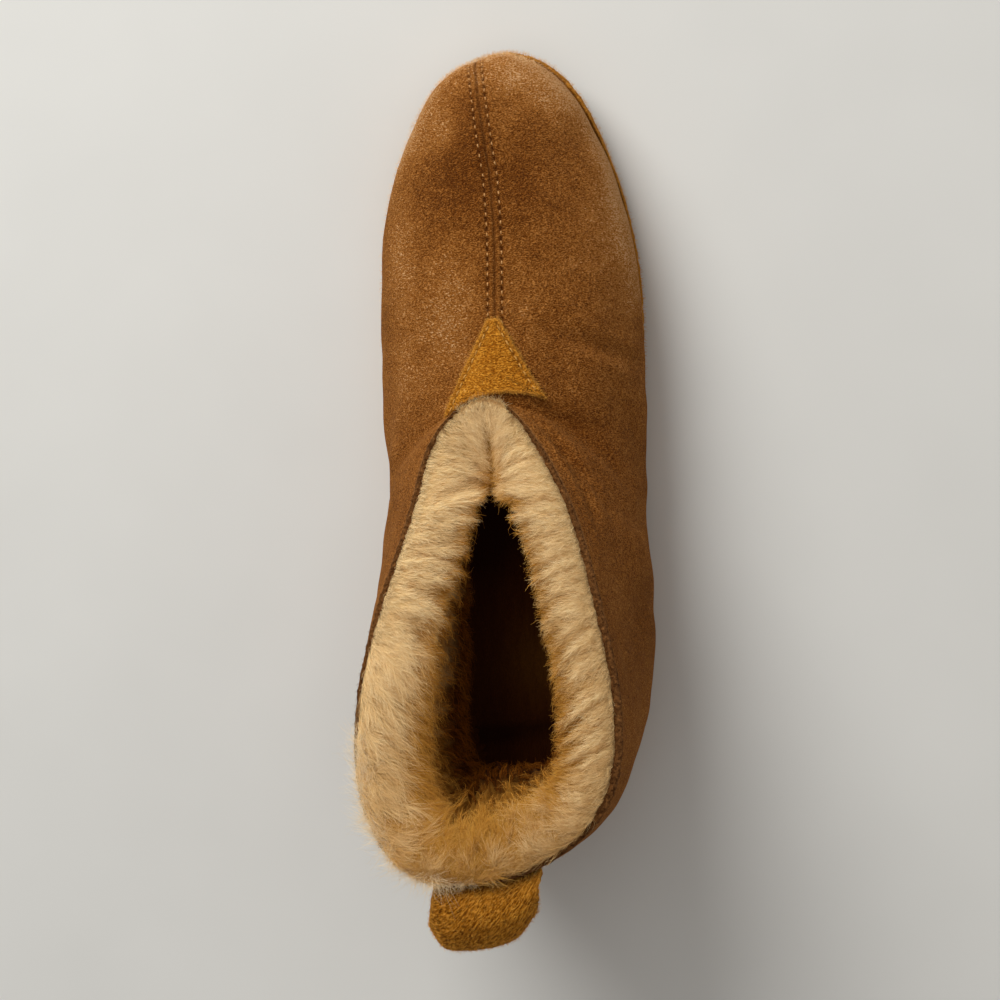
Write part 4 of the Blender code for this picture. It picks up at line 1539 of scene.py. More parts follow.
# The ground glows a little in its own colour: painted light, for light that wanders through the wool
ground = Finish("wool ground", roughness=0.95, specular_ior_level=0.1, emission_strength=0.07)
across_streaks = ground.attribute("streak")
along_streaks = ground.attribute("down") * STREAK_STRETCH
streaks = ground.strands(across_streaks, along_streaks, (3.2, 3, 0.7))
clumps = ground.strands(across_streaks, along_streaks, (0.5, 2, 0.6))
ground_tone = streaks.between(0.3, 0.7) * 0.6 + clumps.between(0.3, 0.7) * 0.4
pale_tint = ground.attribute("pale")
shallow_low = ground.mix(pale_tint, GOLDEN[0], CREAM[0])
shallow_high = ground.mix(pale_tint, GOLDEN[1], CREAM[1])
shallow = ground.mix(ground_tone, shallow_low, shallow_high)
# painted shade: the ground darkens further down inside
deep = ground.ramp(ground_tone, (0.1, DEEP_SHADE_DARK), (0.9, DEEP_SHADE_LIGHT))
ground_colour = ground.mix(ground.attribute("depth"), shallow, deep)
# Painted shade among the roots next to the collar's skin
root_shade = ground.attribute("down").between(4.5, 1.0)
ground_colour = ground.mix(root_shade * 0.6, ground_colour, ROOT_SHADE_COLOUR)
ground_colour = ground.mix(ground.attribute("shade"), ground_colour, IN_SHADE)
ground.use("Base Color", ground_colour)
ground.use("Emission Color", ground_colour)
ground.bump(ground_tone, 0.7, 0.9)
print("nodes in the ground:", len(ground.tree.nodes))

# %% The wool's outer face as a grid round the collar
AROUND = 421
DOWN = 112  # rows, one for each millimetre from the collar's skin


def collar_place(way_round):
    """Places from 0 at the throat over the medial side to 7 at the heel and 14 at the throat again."""
    medial = THROAT + way_round
    lateral = way_round - (3 * THROAT)
    return np.where(way_round <= THROAT, medial, lateral)


way_round = np.linspace(0, 2 * THROAT, AROUND)
collar_places = collar_place(way_round)
rim_part = rim_sections(collar_places, np.linspace(0, 1, 50))
wall_part = inner_sections(collar_places, np.linspace(1, 0, 110))
face_lines = np.concatenate([rim_part, wall_part[:, 1:]], 1)


def every_millimetre(line, count):
    """A line's points one millimetre apart. Past its end the last one repeats."""
    return read_line(line, np.minimum(np.arange(count, dtype=float), length_so_far(line)[-1]))


wool_face = np.array([every_millimetre(line, DOWN) for line in face_lines])
for _ in range(3):
    wool_face[:, 1:-1] = (wool_face[:, :-2] + 2 * wool_face[:, 1:-1] + wool_face[:, 2:]) / 4
print("the wool's face:", AROUND, "by", DOWN, "points")

# %% Its edge and its directions
rim_way = wool_face[:, 14] - wool_face[:, 0]
rim_way[:, 2] = 0
bare_edge = np.interp(way_round, EDGE_WAY, EDGE_WIDTH)[:, None, None]
settle = 1 - smooth_step(np.arange(DOWN, dtype=float), 2, 18)[None, :, None]
wool_face = wool_face + unit(rim_way)[:, None] * bare_edge * settle
inward_way = np.gradient(wool_face, axis=1)
lowest = inward_way[:, -20:]
has_length = np.linalg.norm(lowest, axis=2, keepdims=True) > 0.05
inward_way[:, -20:] = np.where(has_length, lowest, (0.0, 0.0, -1.0))
round_way = np.gradient(wool_face, way_round, axis=0)
round_length = np.linalg.norm(round_way, axis=2)
inward_way, round_way = unit(inward_way), unit(round_way + 1e-6)
face_way = np.cross(inward_way, round_way)
face_way *= np.sign(np.sum(face_way[:, 8] * (0, 0, 1), axis=1))[:, None, None]
face_way = unit(face_way + 1e-6)
laid_back = 0.9 * (1 - smooth_step(np.arange(DOWN, dtype=float), 0.5, 6))[None, :, None]
upright = unit(unit(rim_way)[:, None] * 0.25 + (0.0, 0.0, 1.0))
face_way = unit(face_way * (1 - laid_back) + upright * laid_back)
print("a section of the face is at most", round(float(round_length.max())), "mm wide")

# %% How the wool was combed
COMB_TURN = 26.0
LATERAL_TURN = 26.0
THROAT_TURN = 30.0


def comb_turn(from_throat, lateral=0.0):
    """Degrees that the wool lies turned from straight inwards to the heel: more on the lateral side."""
    turned = COMB_TURN + LATERAL_TURN * lateral * smooth_step(from_throat, 2.6, 4.2)
    heelwards = turned * rise_and_fall(from_throat, 1.4, 3.8, 5.2, 6.8)
    return heelwards - THROAT_TURN * rise_and_fall(from_throat, 0.1, 0.7, 1.0, 2.2)


def waves_of(across, along, across_size, along_size, count=10):
    """Long soft waves: ridges of about one size across, and another size along."""
    total = np.zeros(np.shape(across))
    for _ in range(count):
        turns = chance.normal(size=2) * (1 / across_size, 1 / along_size)
        turns[0] += np.sign(turns[0]) * 0.5 / across_size
        total += np.sin(2 * np.pi * (turns[0] * across + turns[1] * along) + chance.uniform(0, 2 * np.pi))
    return total / np.sqrt(count)


from_throat = np.minimum(way_round, 2 * THROAT - way_round)
round_mm = length_so_far(wool_face[:, 10])
side_sign = np.where(way_round < THROAT, 1.0, -1.0)
skew = np.tan(np.radians(comb_turn(from_throat, side_sign < 0))) * side_sign
rows = np.arange(DOWN, dtype=float)[None, :]
streak = round_mm[:, None] - skew[:, None] * np.minimum(rows, 30)
print("once round the wool:", round(float(round_mm[-1])), "mm")

# %% Ridges, partings and fullness
heel_lumps = smooth_step(from_throat, 4.4, 6.2)[:, None]
ridges = 0.75 * waves_of(streak, rows, 10.0, 30.0) + 0.4 * waves_of(streak, rows, 4.5, 20.0)
ridges = ridges * (1 - 0.5 * heel_lumps)
ridges = ridges + 1.8 * heel_lumps * waves_of(round_mm[:, None] + 0 * rows, rows, 15.0, 13.0)
ridges = ridges + 0.7 * heel_lumps * waves_of(round_mm[:, None] + 0 * rows, rows, 6.0, 7.0)

PARTINGS = 84
parting = np.zeros_like(ridges)
for number in range(PARTINGS):
    middle = round_mm[-1] * (number + 0.8 * chance.uniform(-0.5, 0.5)) / PARTINGS
    start, end = chance.uniform(2, 12), chance.uniform(16, 30)
    bow = chance.normal() * 1.6
    wander = streak - middle - bow * np.sin((rows - start) / (end - start) * np.pi)
    wide = chance.uniform(0.7, 1.3)
    run_down = rise_and_fall(rows, start, start + 5, end - 6, end)
    parting += chance.uniform(0.35, 1.0) * bell(wander, wide) * run_down
parting = np.minimum(parting, 1.2)
midline = bell(from_throat, 0.34)[:, None] * smooth_step(rows, 4.0, 12.0)
ridges = (ridges - 1.15 * parting * (1 - 0.6 * heel_lumps)) * smooth_step(rows, 1.0, 6.0) - 2.6 * midline
full_at_heel = smooth_step(from_throat, 4.6, 6.6)
full_at_sides = smooth_step(from_throat, 0.8, 3.0) * np.where(way_round < THROAT, 5.0, 12.0)
fullness = full_at_sides * (1 - full_at_heel) + 15.0 * full_at_heel
swollen = fullness[:, None] * smooth_step(rows, 15.0, 62.0)
wool_face = wool_face + face_way * (ridges + swollen)[..., None]
print("ridges from", ridges.min().round(1), "to", ridges.max().round(1), "mm")

# %% Reading the wool's face


def read_face(field, around, down):
    """A value of the wool's outer face between its grid points."""
    row = np.clip(around / (2 * THROAT) * (AROUND - 1), 0, AROUND - 1.001)
    column = np.clip(down, 0, DOWN - 1.001)
    i, j = row.astype(int), column.astype(int)
    a, b = row - i, column - j
    if field.ndim == 3:
        a, b = a[:, None], b[:, None]
    low = field[i, j] * (1 - b) + field[i, j + 1] * b
    high = field[i + 1, j] * (1 - b) + field[i + 1, j + 1] * b
    return low * (1 - a) + high * a


# %% The ground's sheets
GROUND_DEPTH = 1.4
sunk = GROUND_DEPTH * smooth_step(rows, 0.0, 4.0)[..., None]
ground_face = (wool_face - face_way * sunk)[:, ::2]
vamp_places = np.linspace(0, THROAT, 40)
vamp_sheets = [inner_sections(side * vamp_places, np.linspace(1, 0, 40)) for side in (1, -1)]
pile_ground = sheets_object("wool_ground", [ground_face, *vamp_sheets])
points = roughen(pile_ground, (0.25, 5), (0.15, 2.5))
_, nearest = distance_to(points, ground_face.reshape(-1, 3))


def from_face(field):
    """A value of the wool's grid for every point of the ground."""
    return np.broadcast_to(field, streak.shape)[:, ::2].ravel()[nearest]


nearest_way, nearest_row = from_face(way_round[:, None]), from_face(rows)
height = read_face(ridges, nearest_way, nearest_row)
# Paler on the ridges and darker in the partings: painted light and painted shade
pale = np.interp(nearest_way, TINT_WAY, TINT_WITH_PAINTED_LIGHT) + 0.22 * np.clip(height, -2.2, 1.2)
pale = pale - 0.5 * smooth_step(nearest_row, 9, 24) - 0.1
# how far down into the painted shade each point lies
shade_down = smooth_step(nearest_row, 24, 54)
keep_values(pile_ground, streak=from_face(streak), down=nearest_row, pale=pale, depth=shade_down)
finish_piece(pile_ground, ground, "upper")

# %% [markdown]
# ## The wool: its locks
#
# Hairs do not stand alone: they clump into locks that end in a point, and light and shadow between the
# locks is what the eye reads as fleece. Blender's own hair would render well, but it is lost when a model
# is exported, so the hairs here are thin tapered ribbons in plain meshes. Each lock walks over the wool's
# outer face, step by step: it rises from the ground, is combed inwards and back towards the heel, and
# droops at its tip. The fleece comes in stretches, because it lies short and flat along the sides, curls
# at the heel and darkens down the inner wall. A few locks turn outwards instead: over the patch, and over
# the edge along the lateral side of the heel.

# %% How a lock lies


def combed(around, swirl):
    """The turn that the wool lies at, with each lock's own swirl."""
    turn = comb_turn(np.minimum(around, 2 * THROAT - around), around > THROAT)
    return np.where(around < THROAT, turn, -turn) + swirl


def drift(around, down):
    """A slow change of the wool's lie, in degrees, which is stronger at the heel."""
    at = read_face(round_table, around, down)
    slow = np.sin(at / 7.0 + 0.9 * np.sin(down / 6.0)) + np.sin(at / 4.1 + down / 5.0 + 2)
    from_throat = np.minimum(around, 2 * THROAT - around)
    return slow * (4 + 16 * smooth_step(from_throat, 4.2, 6.2))


round_table = np.broadcast_to(round_mm[:, None], ridges.shape)


STIFFNESS = 0.4
LEAST_SPREAD = 4.0  # millimetres between two places round the face, so that a step stays small


def walk_locks(around, down, length, swirl, steps, depth, lift):
    """Each lock's path over the wool's face, and the directions beside it and out of it."""
    here = read_face(wool_face, around, down) - read_face(face_way, around, down) * depth[:, None]
    way = None
    path, beside, out = [here], [], []
    for step in range(steps + 1):
        inward = read_face(inward_way, around, down)
        round_it = read_face(round_way, around, down)
        up = read_face(face_way, around, down)
        angle = np.radians(combed(around, swirl))[:, None]
        comb = unit(inward * np.cos(angle) + round_it * np.sin(angle) + 1e-9)
        share = step / steps
        rise = (lift * (1 - 1.9 * share))[:, None]
        wanted = unit(comb + up * rise)
        way = unit(comb * 0.35 + up) if way is None else unit(way * STIFFNESS + wanted * (1 - STIFFNESS))
        beside.append(unit(np.cross(way, up) + 1e-9))
        out.append(up)
        if step == steps:
            break
        stride = (length / steps)[:, None]
        here = here + way * stride
        path.append(here)
        down = down + np.sum(way * inward, 1) * stride[:, 0]
        per_place = np.maximum(read_face(round_length, around, down), LEAST_SPREAD)
        around = around + np.sum(way * round_it, 1) * stride[:, 0] / per_place
    return np.stack(path, 1), np.stack(beside, 1), np.stack(out, 1)


# %% Where locks grow
PLASTIC_STEPS = (0.7548776662, 0.5698402910)  # they spread any number of spots evenly over a square


def scatter(count, low, high, start, end, seed):
    """Even but irregular roots over part of the wool's face: places round it and millimetres down it."""
    table = np.linspace(start, end, 300)
    rim_length = read_face(round_length, table, np.full(300, 0.5 * (low + high)))
    share = np.cumsum(np.maximum(rim_length, 2.0))
    share = (share - share[0]) / (share[-1] - share[0])
    numbers = np.arange(count)
    first, second = (np.mod(seed + numbers * step, 1) for step in PLASTIC_STEPS)
    around = np.interp(first, share, table) + 0.02 * chance.normal(size=count)
    around = np.clip(around, start, end)
    down = low + (high - low) * second + 0.4 * chance.normal(size=count)
    return around, np.clip(down, 0.2, DOWN - 4)


# %% Ribbons of hair


def ribbons(name, paths, beside, width, tint, tip_width=0.3):
    """One mesh of tapered ribbons: paths are [hair, point, size], beside is the ribbons' flat way."""
    count, length = paths.shape[:2]
    share = np.linspace(0, 1, length)
    taper = (1 - (1 - tip_width) * share**1.6) * np.minimum(1, 0.55 + 1.5 * share)
    half = 0.5 * np.asarray(width).reshape(-1, 1, 1) * taper[None, :, None]
    left, right = paths - beside * half, paths + beside * half
    points = np.stack([left, right], 2).reshape(-1, 3)
    at = np.arange(count * length * 2).reshape(count, length, 2)
    faces = np.stack([at[:, :-1, 0], at[:, :-1, 1], at[:, 1:, 1], at[:, 1:, 0]], -1).reshape(-1, 4)
    bins = np.clip((np.asarray(tint) * WOOL_BINS).astype(int), 0, WOOL_BINS - 1)
    across = (bins[:, None, None] + np.array([0.15, 0.85])[None, None, :]) / WOOL_BINS
    upward = 0.02 + 0.96 * share[None, :, None]
    across = np.broadcast_to(across, (count, length, 2))
    upward = np.broadcast_to(upward, (count, length, 2))
    flat_map = np.stack([across, upward], -1).reshape(-1, 2)
    return new_mesh(name, points, faces, map_places=flat_map)


def hair_roots(around, down, hairs, radius):
    """Roots of each lock's hairs, at random round the lock's own root."""
    turn = chance.uniform(0, 2 * np.pi, (len(around), hairs))
    away = radius * np.sqrt(chance.uniform(0, 1, (len(around), hairs)))
    per_place = np.maximum(read_face(round_length, around, down), LEAST_SPREAD)[:, None]
    places = around[:, None] + away * np.cos(turn) / per_place
    return np.clip(places, 0, 2 * THROAT), np.clip(down[:, None] + away * np.sin(turn), 0.2, DOWN - 2)


CRIMP = 0.16
CRIMPS = 1.6  # waves on a hair


def soften(path, beside, out, core, closing, frizz):
    """Draws each hair towards its lock's middle at the tip, then bends and crimps it a little."""
    count, length = path.shape[:2]
    share = np.linspace(0, 1, length)[None, :, None]
    path = path + (core - path) * closing * share**1.2
    path = path + chance.normal(size=(count, 1, 3)) * frizz * share**1.5
    phase = chance.uniform(0, 2 * np.pi, (count, 1, 1))
    wave = np.sin(phase + share * 2 * np.pi * CRIMPS)
    path = path + (beside * wave + out * np.roll(wave, 1, 1)) * CRIMP * np.minimum(1, 3 * share)
    shorter = chance.uniform(0.55, 1.1, (count, 1, 1))
    path = path[:, :1] + (path - path[:, :1]) * shorter
    lean = chance.normal(size=(count, 1, 1)) * 0.6
    return path, unit(beside + out * lean + np.zeros_like(path))


# %% Finishes of the hair
STRAY = ([(0.52, 0.34, 0.155)] * 3, [(0.86, 0.69, 0.44)] * 3)
hair = wool("collar wool", GOLDEN, CREAM, glow=0.055, sheen=0.1)
shaded_hair = wool("shaded wool", GOLDEN, CREAM, glow=0.03, sheen=0.08)
lit_hair = wool("lit wool", GOLDEN, CREAM, glow=0.08, sheen=0.1)
inner_hair = wool("inner wool", DEEP_SHADE_WOOL, INNER_GOLD, glow=0.065)
stray_hair = wool("stray wool", *STRAY, glow=0.09, sheen=0.2)
print("nodes in each kind of wool:", len(stray_hair.tree.nodes))

# %% A stretch of fleece
EDGE_MESS = 22.0
OUTWARDS = 180.0


def root_depth(down):
    """How deep under the wool's face a hair starts, which is nothing at the collar's edge."""
    return GROUND_DEPTH * smooth_step(down, 0, 4) * 1.1


def make_wool(
    name,
    count,  # of locks
    band,  # from and to, in millimetres down the face
    way,  # from and to, once round the collar
    length,
    hairs,  # in each lock
    width,  # of a hair
    swirl=7.0,  # degrees by which locks differ
    turned=0.0,  # degrees from the way that the wool is combed
    mess=24.0,  # degrees by which a lock's hairs differ
    lift=0.6,
    radius=1.5,  # of a lock
    closing=0.35,  # how far its hairs come together at the tip
    frizz=0.5,
    tint=0.0,  # paler than the table
    golden=(9, 24),  # where the hair turns golden, in millimetres down the face, or dark in the inner wool's painted shade
    fading=0.55,  # how golden, or how dark in the inner wool
    shaded=0.0,  # painted shade: how much darker and more golden along the sides
    steps=3,
    seed=0.5,
    finish=hair,
):
    """A stretch of fleece: locks over a band of the wool's face, made into one mesh of hairs."""
    around, down = scatter(count, *band, *way, seed)
    size = len(around)
    lengths = length * chance.uniform(0.75, 1.2, size)
    lifts = lift * chance.uniform(0.6, 1.35, size)
    turns = swirl * chance.normal(size=size) + drift(around, down) + turned
    core, _, _ = walk_locks(around, down, lengths, turns, steps, root_depth(down), lifts)
    lock_radius = radius * chance.uniform(0.6, 1.4, (size, 1))
    hair_around, hair_down = (roots.ravel() for roots in hair_roots(around, down, hairs, lock_radius))
    lengths, turns, lifts = (np.repeat(numbers, hairs) for numbers in (lengths, turns, lifts))
    at_edge = 1 - smooth_step(hair_down, 0.5, 4.5)
    turns = turns + (mess + EDGE_MESS * at_edge) * chance.normal(size=len(hair_around))
    lengths = lengths * (1 - 0.4 * at_edge)
    depth = root_depth(hair_down)
    path, beside, out = walk_locks(hair_around, hair_down, lengths, turns, steps, depth, lifts)
    path, flat = soften(path, beside, out, np.repeat(core, hairs, 0), closing, frizz)
    height = read_face(ridges, hair_around, hair_down)
    lock_tint = np.interp(around, TINT_WAY, TINT_WITH_PAINTED_LIGHT) + tint + 0.07 * chance.normal(size=size)
    hair_tint = np.repeat(lock_tint, hairs) - fading * smooth_step(hair_down, *golden)
    # paler on the wool's ridges, darker in its partings: painted light and painted shade
    hair_tint = hair_tint + 0.24 * np.clip(height, -2.4, 1.3) + 0.08 * chance.normal(size=len(path))
    hair_tint -= shaded * rise_and_fall(np.abs(hair_around - THROAT), 1.6, 2.8, 5.6, 6.6)
    widths = width * chance.uniform(0.7, 1.2, len(path))
    made = ribbons(name, path, flat, widths, np.clip(hair_tint, 0, 0.99))
    finish_piece(made, finish, "upper")
    print(name, "has", len(path), "hairs")


# %% The collar's wool
SIDE_BAND = (0.2, 24)
make_wool(
    "wool_medial", 2000, SIDE_BAND, (0.35, 5.6), 4.8, 12, 0.10,
    seed=0.13, golden=(10, 24), fading=0.6, finish=shaded_hair,
)
make_wool(
    "wool_lateral", 1300, SIDE_BAND, (10.2, 13.65), 5.0, 12, 0.10,
    seed=0.37, golden=(14, 27), fading=0.9, finish=lit_hair,
)
make_wool(
    "wool_lateral_back", 900, (0.2, 26), (8.0, 10.6), 9.0, 13, 0.105,
    swirl=20, mess=12, lift=0.85, radius=2.0, closing=0.6, frizz=1.0,
    steps=4, seed=0.77, golden=(12, 25), fading=0.95, finish=lit_hair,
)
for name, way, seed in (("wool_throat", (0.0, 0.6), 0.91), ("wool_throat_lateral", (13.4, 14.0), 0.57)):
    make_wool(name, 300, (0.1, 20), way, 4.6, 12, 0.10, swirl=12, closing=0.2, seed=seed)
make_wool(
    "wool_heel", 1170, (0.2, 20.0), (5.2, 8.5), 7.2, 13, 0.105,
    swirl=36, mess=18, lift=1.1, radius=1.9, closing=0.7, frizz=1.5,
    steps=4, seed=0.71, golden=(3, 17), fading=0.5,
)

# %% The wool inside, and what hangs over the edge
# The inner wool darkens to near black down the wall and along the sides: painted shade
make_wool(
    "wool_inside", 1280, (17.5, 70), (0.0, 14.0), 7.0, 10, 0.17,
    swirl=22, lift=0.55, seed=0.29,
    tint=0.35, golden=(26, 52), fading=1.05, shaded=0.42, finish=inner_hair,
)
make_wool(
    "wool_overhang", 150, (0.0, 2.0), (7.1, 9.5), 4.4, 11, 0.09,
    swirl=34, turned=OUTWARDS, lift=0.8, radius=1.2, frizz=0.9, seed=0.17, tint=0.3, finish=stray_hair,
)
make_wool(
    "wool_wisps", 130, (0.0, 4.0), (7.5, 9.7), 10.0, 12, 0.08,
    swirl=34, turned=OUTWARDS, mess=34, radius=2.4, frizz=2.4, steps=4, seed=0.67,
    tint=0.6, finish=stray_hair,
)
for side, way in (("medial", (0.0, 0.5)), ("lateral", (13.42, 14.0))):
    make_wool(
        "wool_over_patch_" + side, 62, (0.0, 1.8), way, 3.4, 11, 0.085,
        swirl=26, turned=OUTWARDS, lift=0.7, radius=1.1, frizz=0.7, seed=0.43,
        tint=-0.12, finish=shaded_hair,
    )

# %% [markdown]
# ## The cut edge
#
# Between the suede and the wool lies the skin's own thickness, where the shears went through. It is a
# dark, rough line a couple of millimetres wide. A band along the collar carries it, and short fibres
# roughen it.

# %% The band along the collar
cut_finish = Finish("cut skin", roughness=1.0, specular_ior_level=0.1)
cut_tone = cut_finish.noise(1.1, 3, 0.75).between(0.36, 0.64)
cut_colour = cut_finish.ramp(cut_tone, (0.0, (0.060, 0.020, 0.004)), (1.0, (0.250, 0.104, 0.030)))
cut_finish.use("Base Color", cut_colour)
cut_finish.bump(cut_tone, 0.5)

band_way_round = np.linspace(0, 2 * THROAT, 900)
band_places = collar_place(band_way_round)
skin_edge, wool_edge = skin_top(band_places), pile_top(band_places)
level_in = wool_edge - skin_edge
level_in[:, 2] = 0
level_in = unit(level_in)
CUT_WIDTH = 2.1
CUT_UNDER_WOOL = 0.7
# inwards from the suede, and up
CUT_OUTER = ((-0.15, -1.2), (-0.12, 0.0), (0.1, 0.3), (0.5, 0.42))
CUT_INNER = ((1.0, 0.45), (1.5, 0.3), (1.9, -0.1), (2.1, -1.4))
band_width = np.interp(band_way_round, EDGE_WAY, EDGE_WIDTH)[:, None]
at_throat = 1 - smooth_step(np.minimum(band_way_round, 2 * THROAT - band_way_round), 0.2, 1.2)[:, None]
columns = []
for inwards, up in CUT_OUTER + CUT_INNER:
    raised = np.array([0, 0, up]) - np.array([0, 0, 0.7]) * at_throat
    columns.append(skin_edge + level_in * inwards * (band_width + CUT_UNDER_WOOL) / CUT_WIDTH + raised)
cut_band = sheets_object("collar_cut_edge", [np.stack(columns, 1)], FINE_WELD)
roughen(cut_band, (0.14, 1.5), (0.12, 4.6))
finish_piece(cut_band, cut_finish)

# %% [markdown]
# ## Loose fibres
#
# A cut through suede never ends clean: short fibres stand out of it in all directions, and against the
# light they soften every outline. They are the same ribbons as the wool's hairs, only much shorter. The
# nap of the toe's rim catches the light as well, so pale fibres stand on it, and the loop gets the
# longest ones, along its nap.

# %% Fuzz along edges


def fuzz(name, spots, away, count, length, width, finish, tint=0.6, spread=0.55):
    """Short bent fibres that start at random spots and stand off in about the direction given there."""
    picked = chance.integers(0, len(spots), count)
    root = spots[picked] + 0.12 * chance.normal(size=(count, 3))
    way = unit(away[picked] + spread * chance.normal(size=(count, 3)))
    bend = unit(np.cross(way, chance.normal(size=(count, 3)))) * chance.uniform(0.1, 0.6, (count, 1))
    reach = length * chance.uniform(0.4, 1.0, (count, 1)) ** 1.5
    share = np.linspace(0, 1, 3)[None, :, None]
    paths = root[:, None] + (way[:, None] * share + bend[:, None] * share**2) * reach[:, None]
    beside = np.repeat(unit(np.cross(way, chance.normal(size=(count, 3))))[:, None], 3, 1)
    tints = np.clip(tint + 0.15 * chance.normal(size=count), 0, 0.99)
    made = ribbons(name, paths, beside, width * chance.uniform(0.7, 1.2, count), tints, 0.4)
    finish_piece(made, finish)


mustard_fibre = wool("mustard fibre", [(0.46, 0.17, 0.013)] * 3, [(0.85, 0.46, 0.09)] * 3)
brown_fibre = wool("brown fibre", [(0.12, 0.040, 0.007)] * 3, [(0.36, 0.16, 0.045)] * 3)
# The toe rim's fibres are pale and glow: a painted highlight
rim_highlight_fibre = wool("rim fibre", [(0.62, 0.35, 0.13)] * 3, [(0.96, 0.74, 0.44)] * 3, glow=0.16, sheen=0.2)
loop_fibre = wool(
    "loop fibre",
    ((0.30, 0.09, 0.004), (0.64, 0.25, 0.018), (0.84, 0.40, 0.05)),
    ((0.44, 0.15, 0.008), (0.86, 0.42, 0.055), (1.00, 0.62, 0.14)),
)
print("finishes so far:", len(bpy.data.materials))

# %% Fibres of the rand and the toe's rim
rand_spots = np.concatenate([profile[9], profile[8], profile[6]])
rand_ways = np.concatenate([skin_way + (0, 0, 0.8), skin_way + (0, 0, 0.2), skin_way])
fuzz("rand_fuzz", rand_spots, unit(rand_ways), 8000, 1.7, 0.10, mustard_fibre)
RIM_MIDDLE = -1.6
RIM_REACH = 4.2
along_rim = np.repeat(rand_places[(rand_places > -5.6) & (rand_places < 2.4)], 40)
wanted = smooth_step(RIM_REACH - np.abs(along_rim - RIM_MIDDLE), 0.2, 2.2)
along_rim = along_rim[chance.uniform(size=len(along_rim)) < wanted]
level = sole_top(feather(along_rim)[:, 0]) + 2.5 + 10.5 * chance.uniform(size=len(along_rim)) ** 1.3
spots, ways = skin_and_direction(along_rim, steps_at(along_rim, level))
spots = spots + (0.9 * toe_fullness(spots) + 0.15)[:, None] * ways
ways = unit(ways + (0, 0, 0.3))
fuzz("toe_rim_fuzz", spots, ways, 4200, 1.5, 0.075, rim_highlight_fibre, tint=0.45)

# %% Fibres of the patch, the loop and the cut edge
patch_spots = rings[2][:-1]
patch_ways = unit(patch_spots - np.array([*PATCH_MIDDLE, 66.0]))
fuzz("patch_fuzz", patch_spots, patch_ways, 1500, 1.1, 0.08, mustard_fibre)
loop_spots = np.concatenate([outer_face[:, 0], outer_face[:, -1], outer_face[20:95:2].reshape(-1, 3)])
loop_out = np.concatenate([-width_way[:, 0], width_way[:, -1], face[20:95:2].reshape(-1, 3)])
fuzz("loop_fuzz", loop_spots, loop_out, 3400, 1.1, 0.08, mustard_fibre)
nap_spots = outer_face[15:105].reshape(-1, 3) - 0.3 * face[15:105].reshape(-1, 3)
nap_run = -(run * np.cos(slant) + width_way * np.sin(slant) - 0.55 * face)[15:105].reshape(-1, 3)
fuzz("loop_nap", nap_spots, nap_run, 8000, 1.7, 0.13, loop_fibre, tint=0.65, spread=0.14)
cut_spots = np.concatenate([columns[2], columns[4], columns[5]])
cut_ways = np.concatenate([level_in * lean + (0, 0, 1) for lean in (-0.5, 0.3, 0.8)])
fuzz("cut_edge_fuzz", cut_spots, unit(cut_ways), 6000, 1.3, 0.09, brown_fibre, tint=0.45)

# %% [markdown]
# ## The footbed
#
# Inside lies a loose footbed, which is cut from the same shearling with the wool up. It hardly shows, so
# it needs no hair of its own: a cushion of soft lumps in the finish of the wool's ground is enough. A
# value named shade darkens it under the instep and along the lateral wall, and its edge is tucked under
# the wool of the walls.

# %% The footbed's rows
INSOLE_THICKNESS = 7.0
INSOLE_CROWN = 2.0
PALER_MIDDLE_SHARE = 0.11
insole_inset = FOOT_WALL + 3 * SEAT_GAP
bed_places = np.linspace(0, HEEL, 90)


def bed_rail(side, inset, rise):
    """One side of the footbed, this far inside the sole's edge and this high over the sole."""
    edge, away = feather(side * bed_places), outward(side * bed_places)
    return np.column_stack([edge - away * inset, sole_top(edge[:, 0]) + SEAT_GAP + rise])


def bed_row(inset, rise):
    """The whole way round, medial side first."""
    return np.concatenate([bed_rail(1, inset, rise), bed_rail(-1, inset, rise)[-2::-1]])


def bed_lid(inset, rise, parts=28):
    """A sheet from the medial side to the lateral one."""
    share = np.linspace(0, 1, parts)[None, :, None]
    medial, lateral = (bed_rail(side, inset, rise)[:, None] for side in (1, -1))
    return medial * (1 - share) + lateral * share


print("the footbed lies", round(insole_inset, 1), "mm inside the sole's edge")


# %% The footbed
bed_sides = [
    bed_row(insole_inset, 0.0),
    bed_row(insole_inset, 2.5),
    bed_row(insole_inset, INSOLE_THICKNESS - INSOLE_CROWN),
    bed_row(insole_inset + 0.6, INSOLE_THICKNESS - 0.6),
    bed_row(insole_inset + INSOLE_CROWN, INSOLE_THICKNESS),
]
lids = [bed_lid(insole_inset, 0.0), bed_lid(insole_inset + INSOLE_CROWN, INSOLE_THICKNESS)]
footbed = sheets_object("footbed", [np.stack(bed_sides, 1), *lids])
points, normals = points_of(footbed)
soft = 0.35 * ripples(points, 8) + 0.2 * ripples(points, 3)
lifted = smooth_step(points[:, 2] - sole_top(points[:, 0]), 3, 6)
move_points(footbed, points + np.array([0, 0, 1]) * (soft * lifted)[:, None])
along, across = points[:, 0], points[:, 1]
# The footbed takes the ground's dark painted shade, a little paler in its middle
paler_middle = bell(along, 14, 64) * bell(across, 14, 8)
toe_shade = 0.75 * smooth_step(along, 80, 114)
side_shade = 0.45 * smooth_step(-across, 0, 12)
heel_shade = 0.7 * bell(along - 0.1 * across, 3.2, 40)
shade = np.clip(toe_shade + side_shade + heel_shade, 0, 0.85)
keep_values(footbed, streak=across, down=along + 20, depth=1 - PALER_MIDDLE_SHARE * paler_middle, shade=shade)
finish_piece(footbed, ground, "insole")

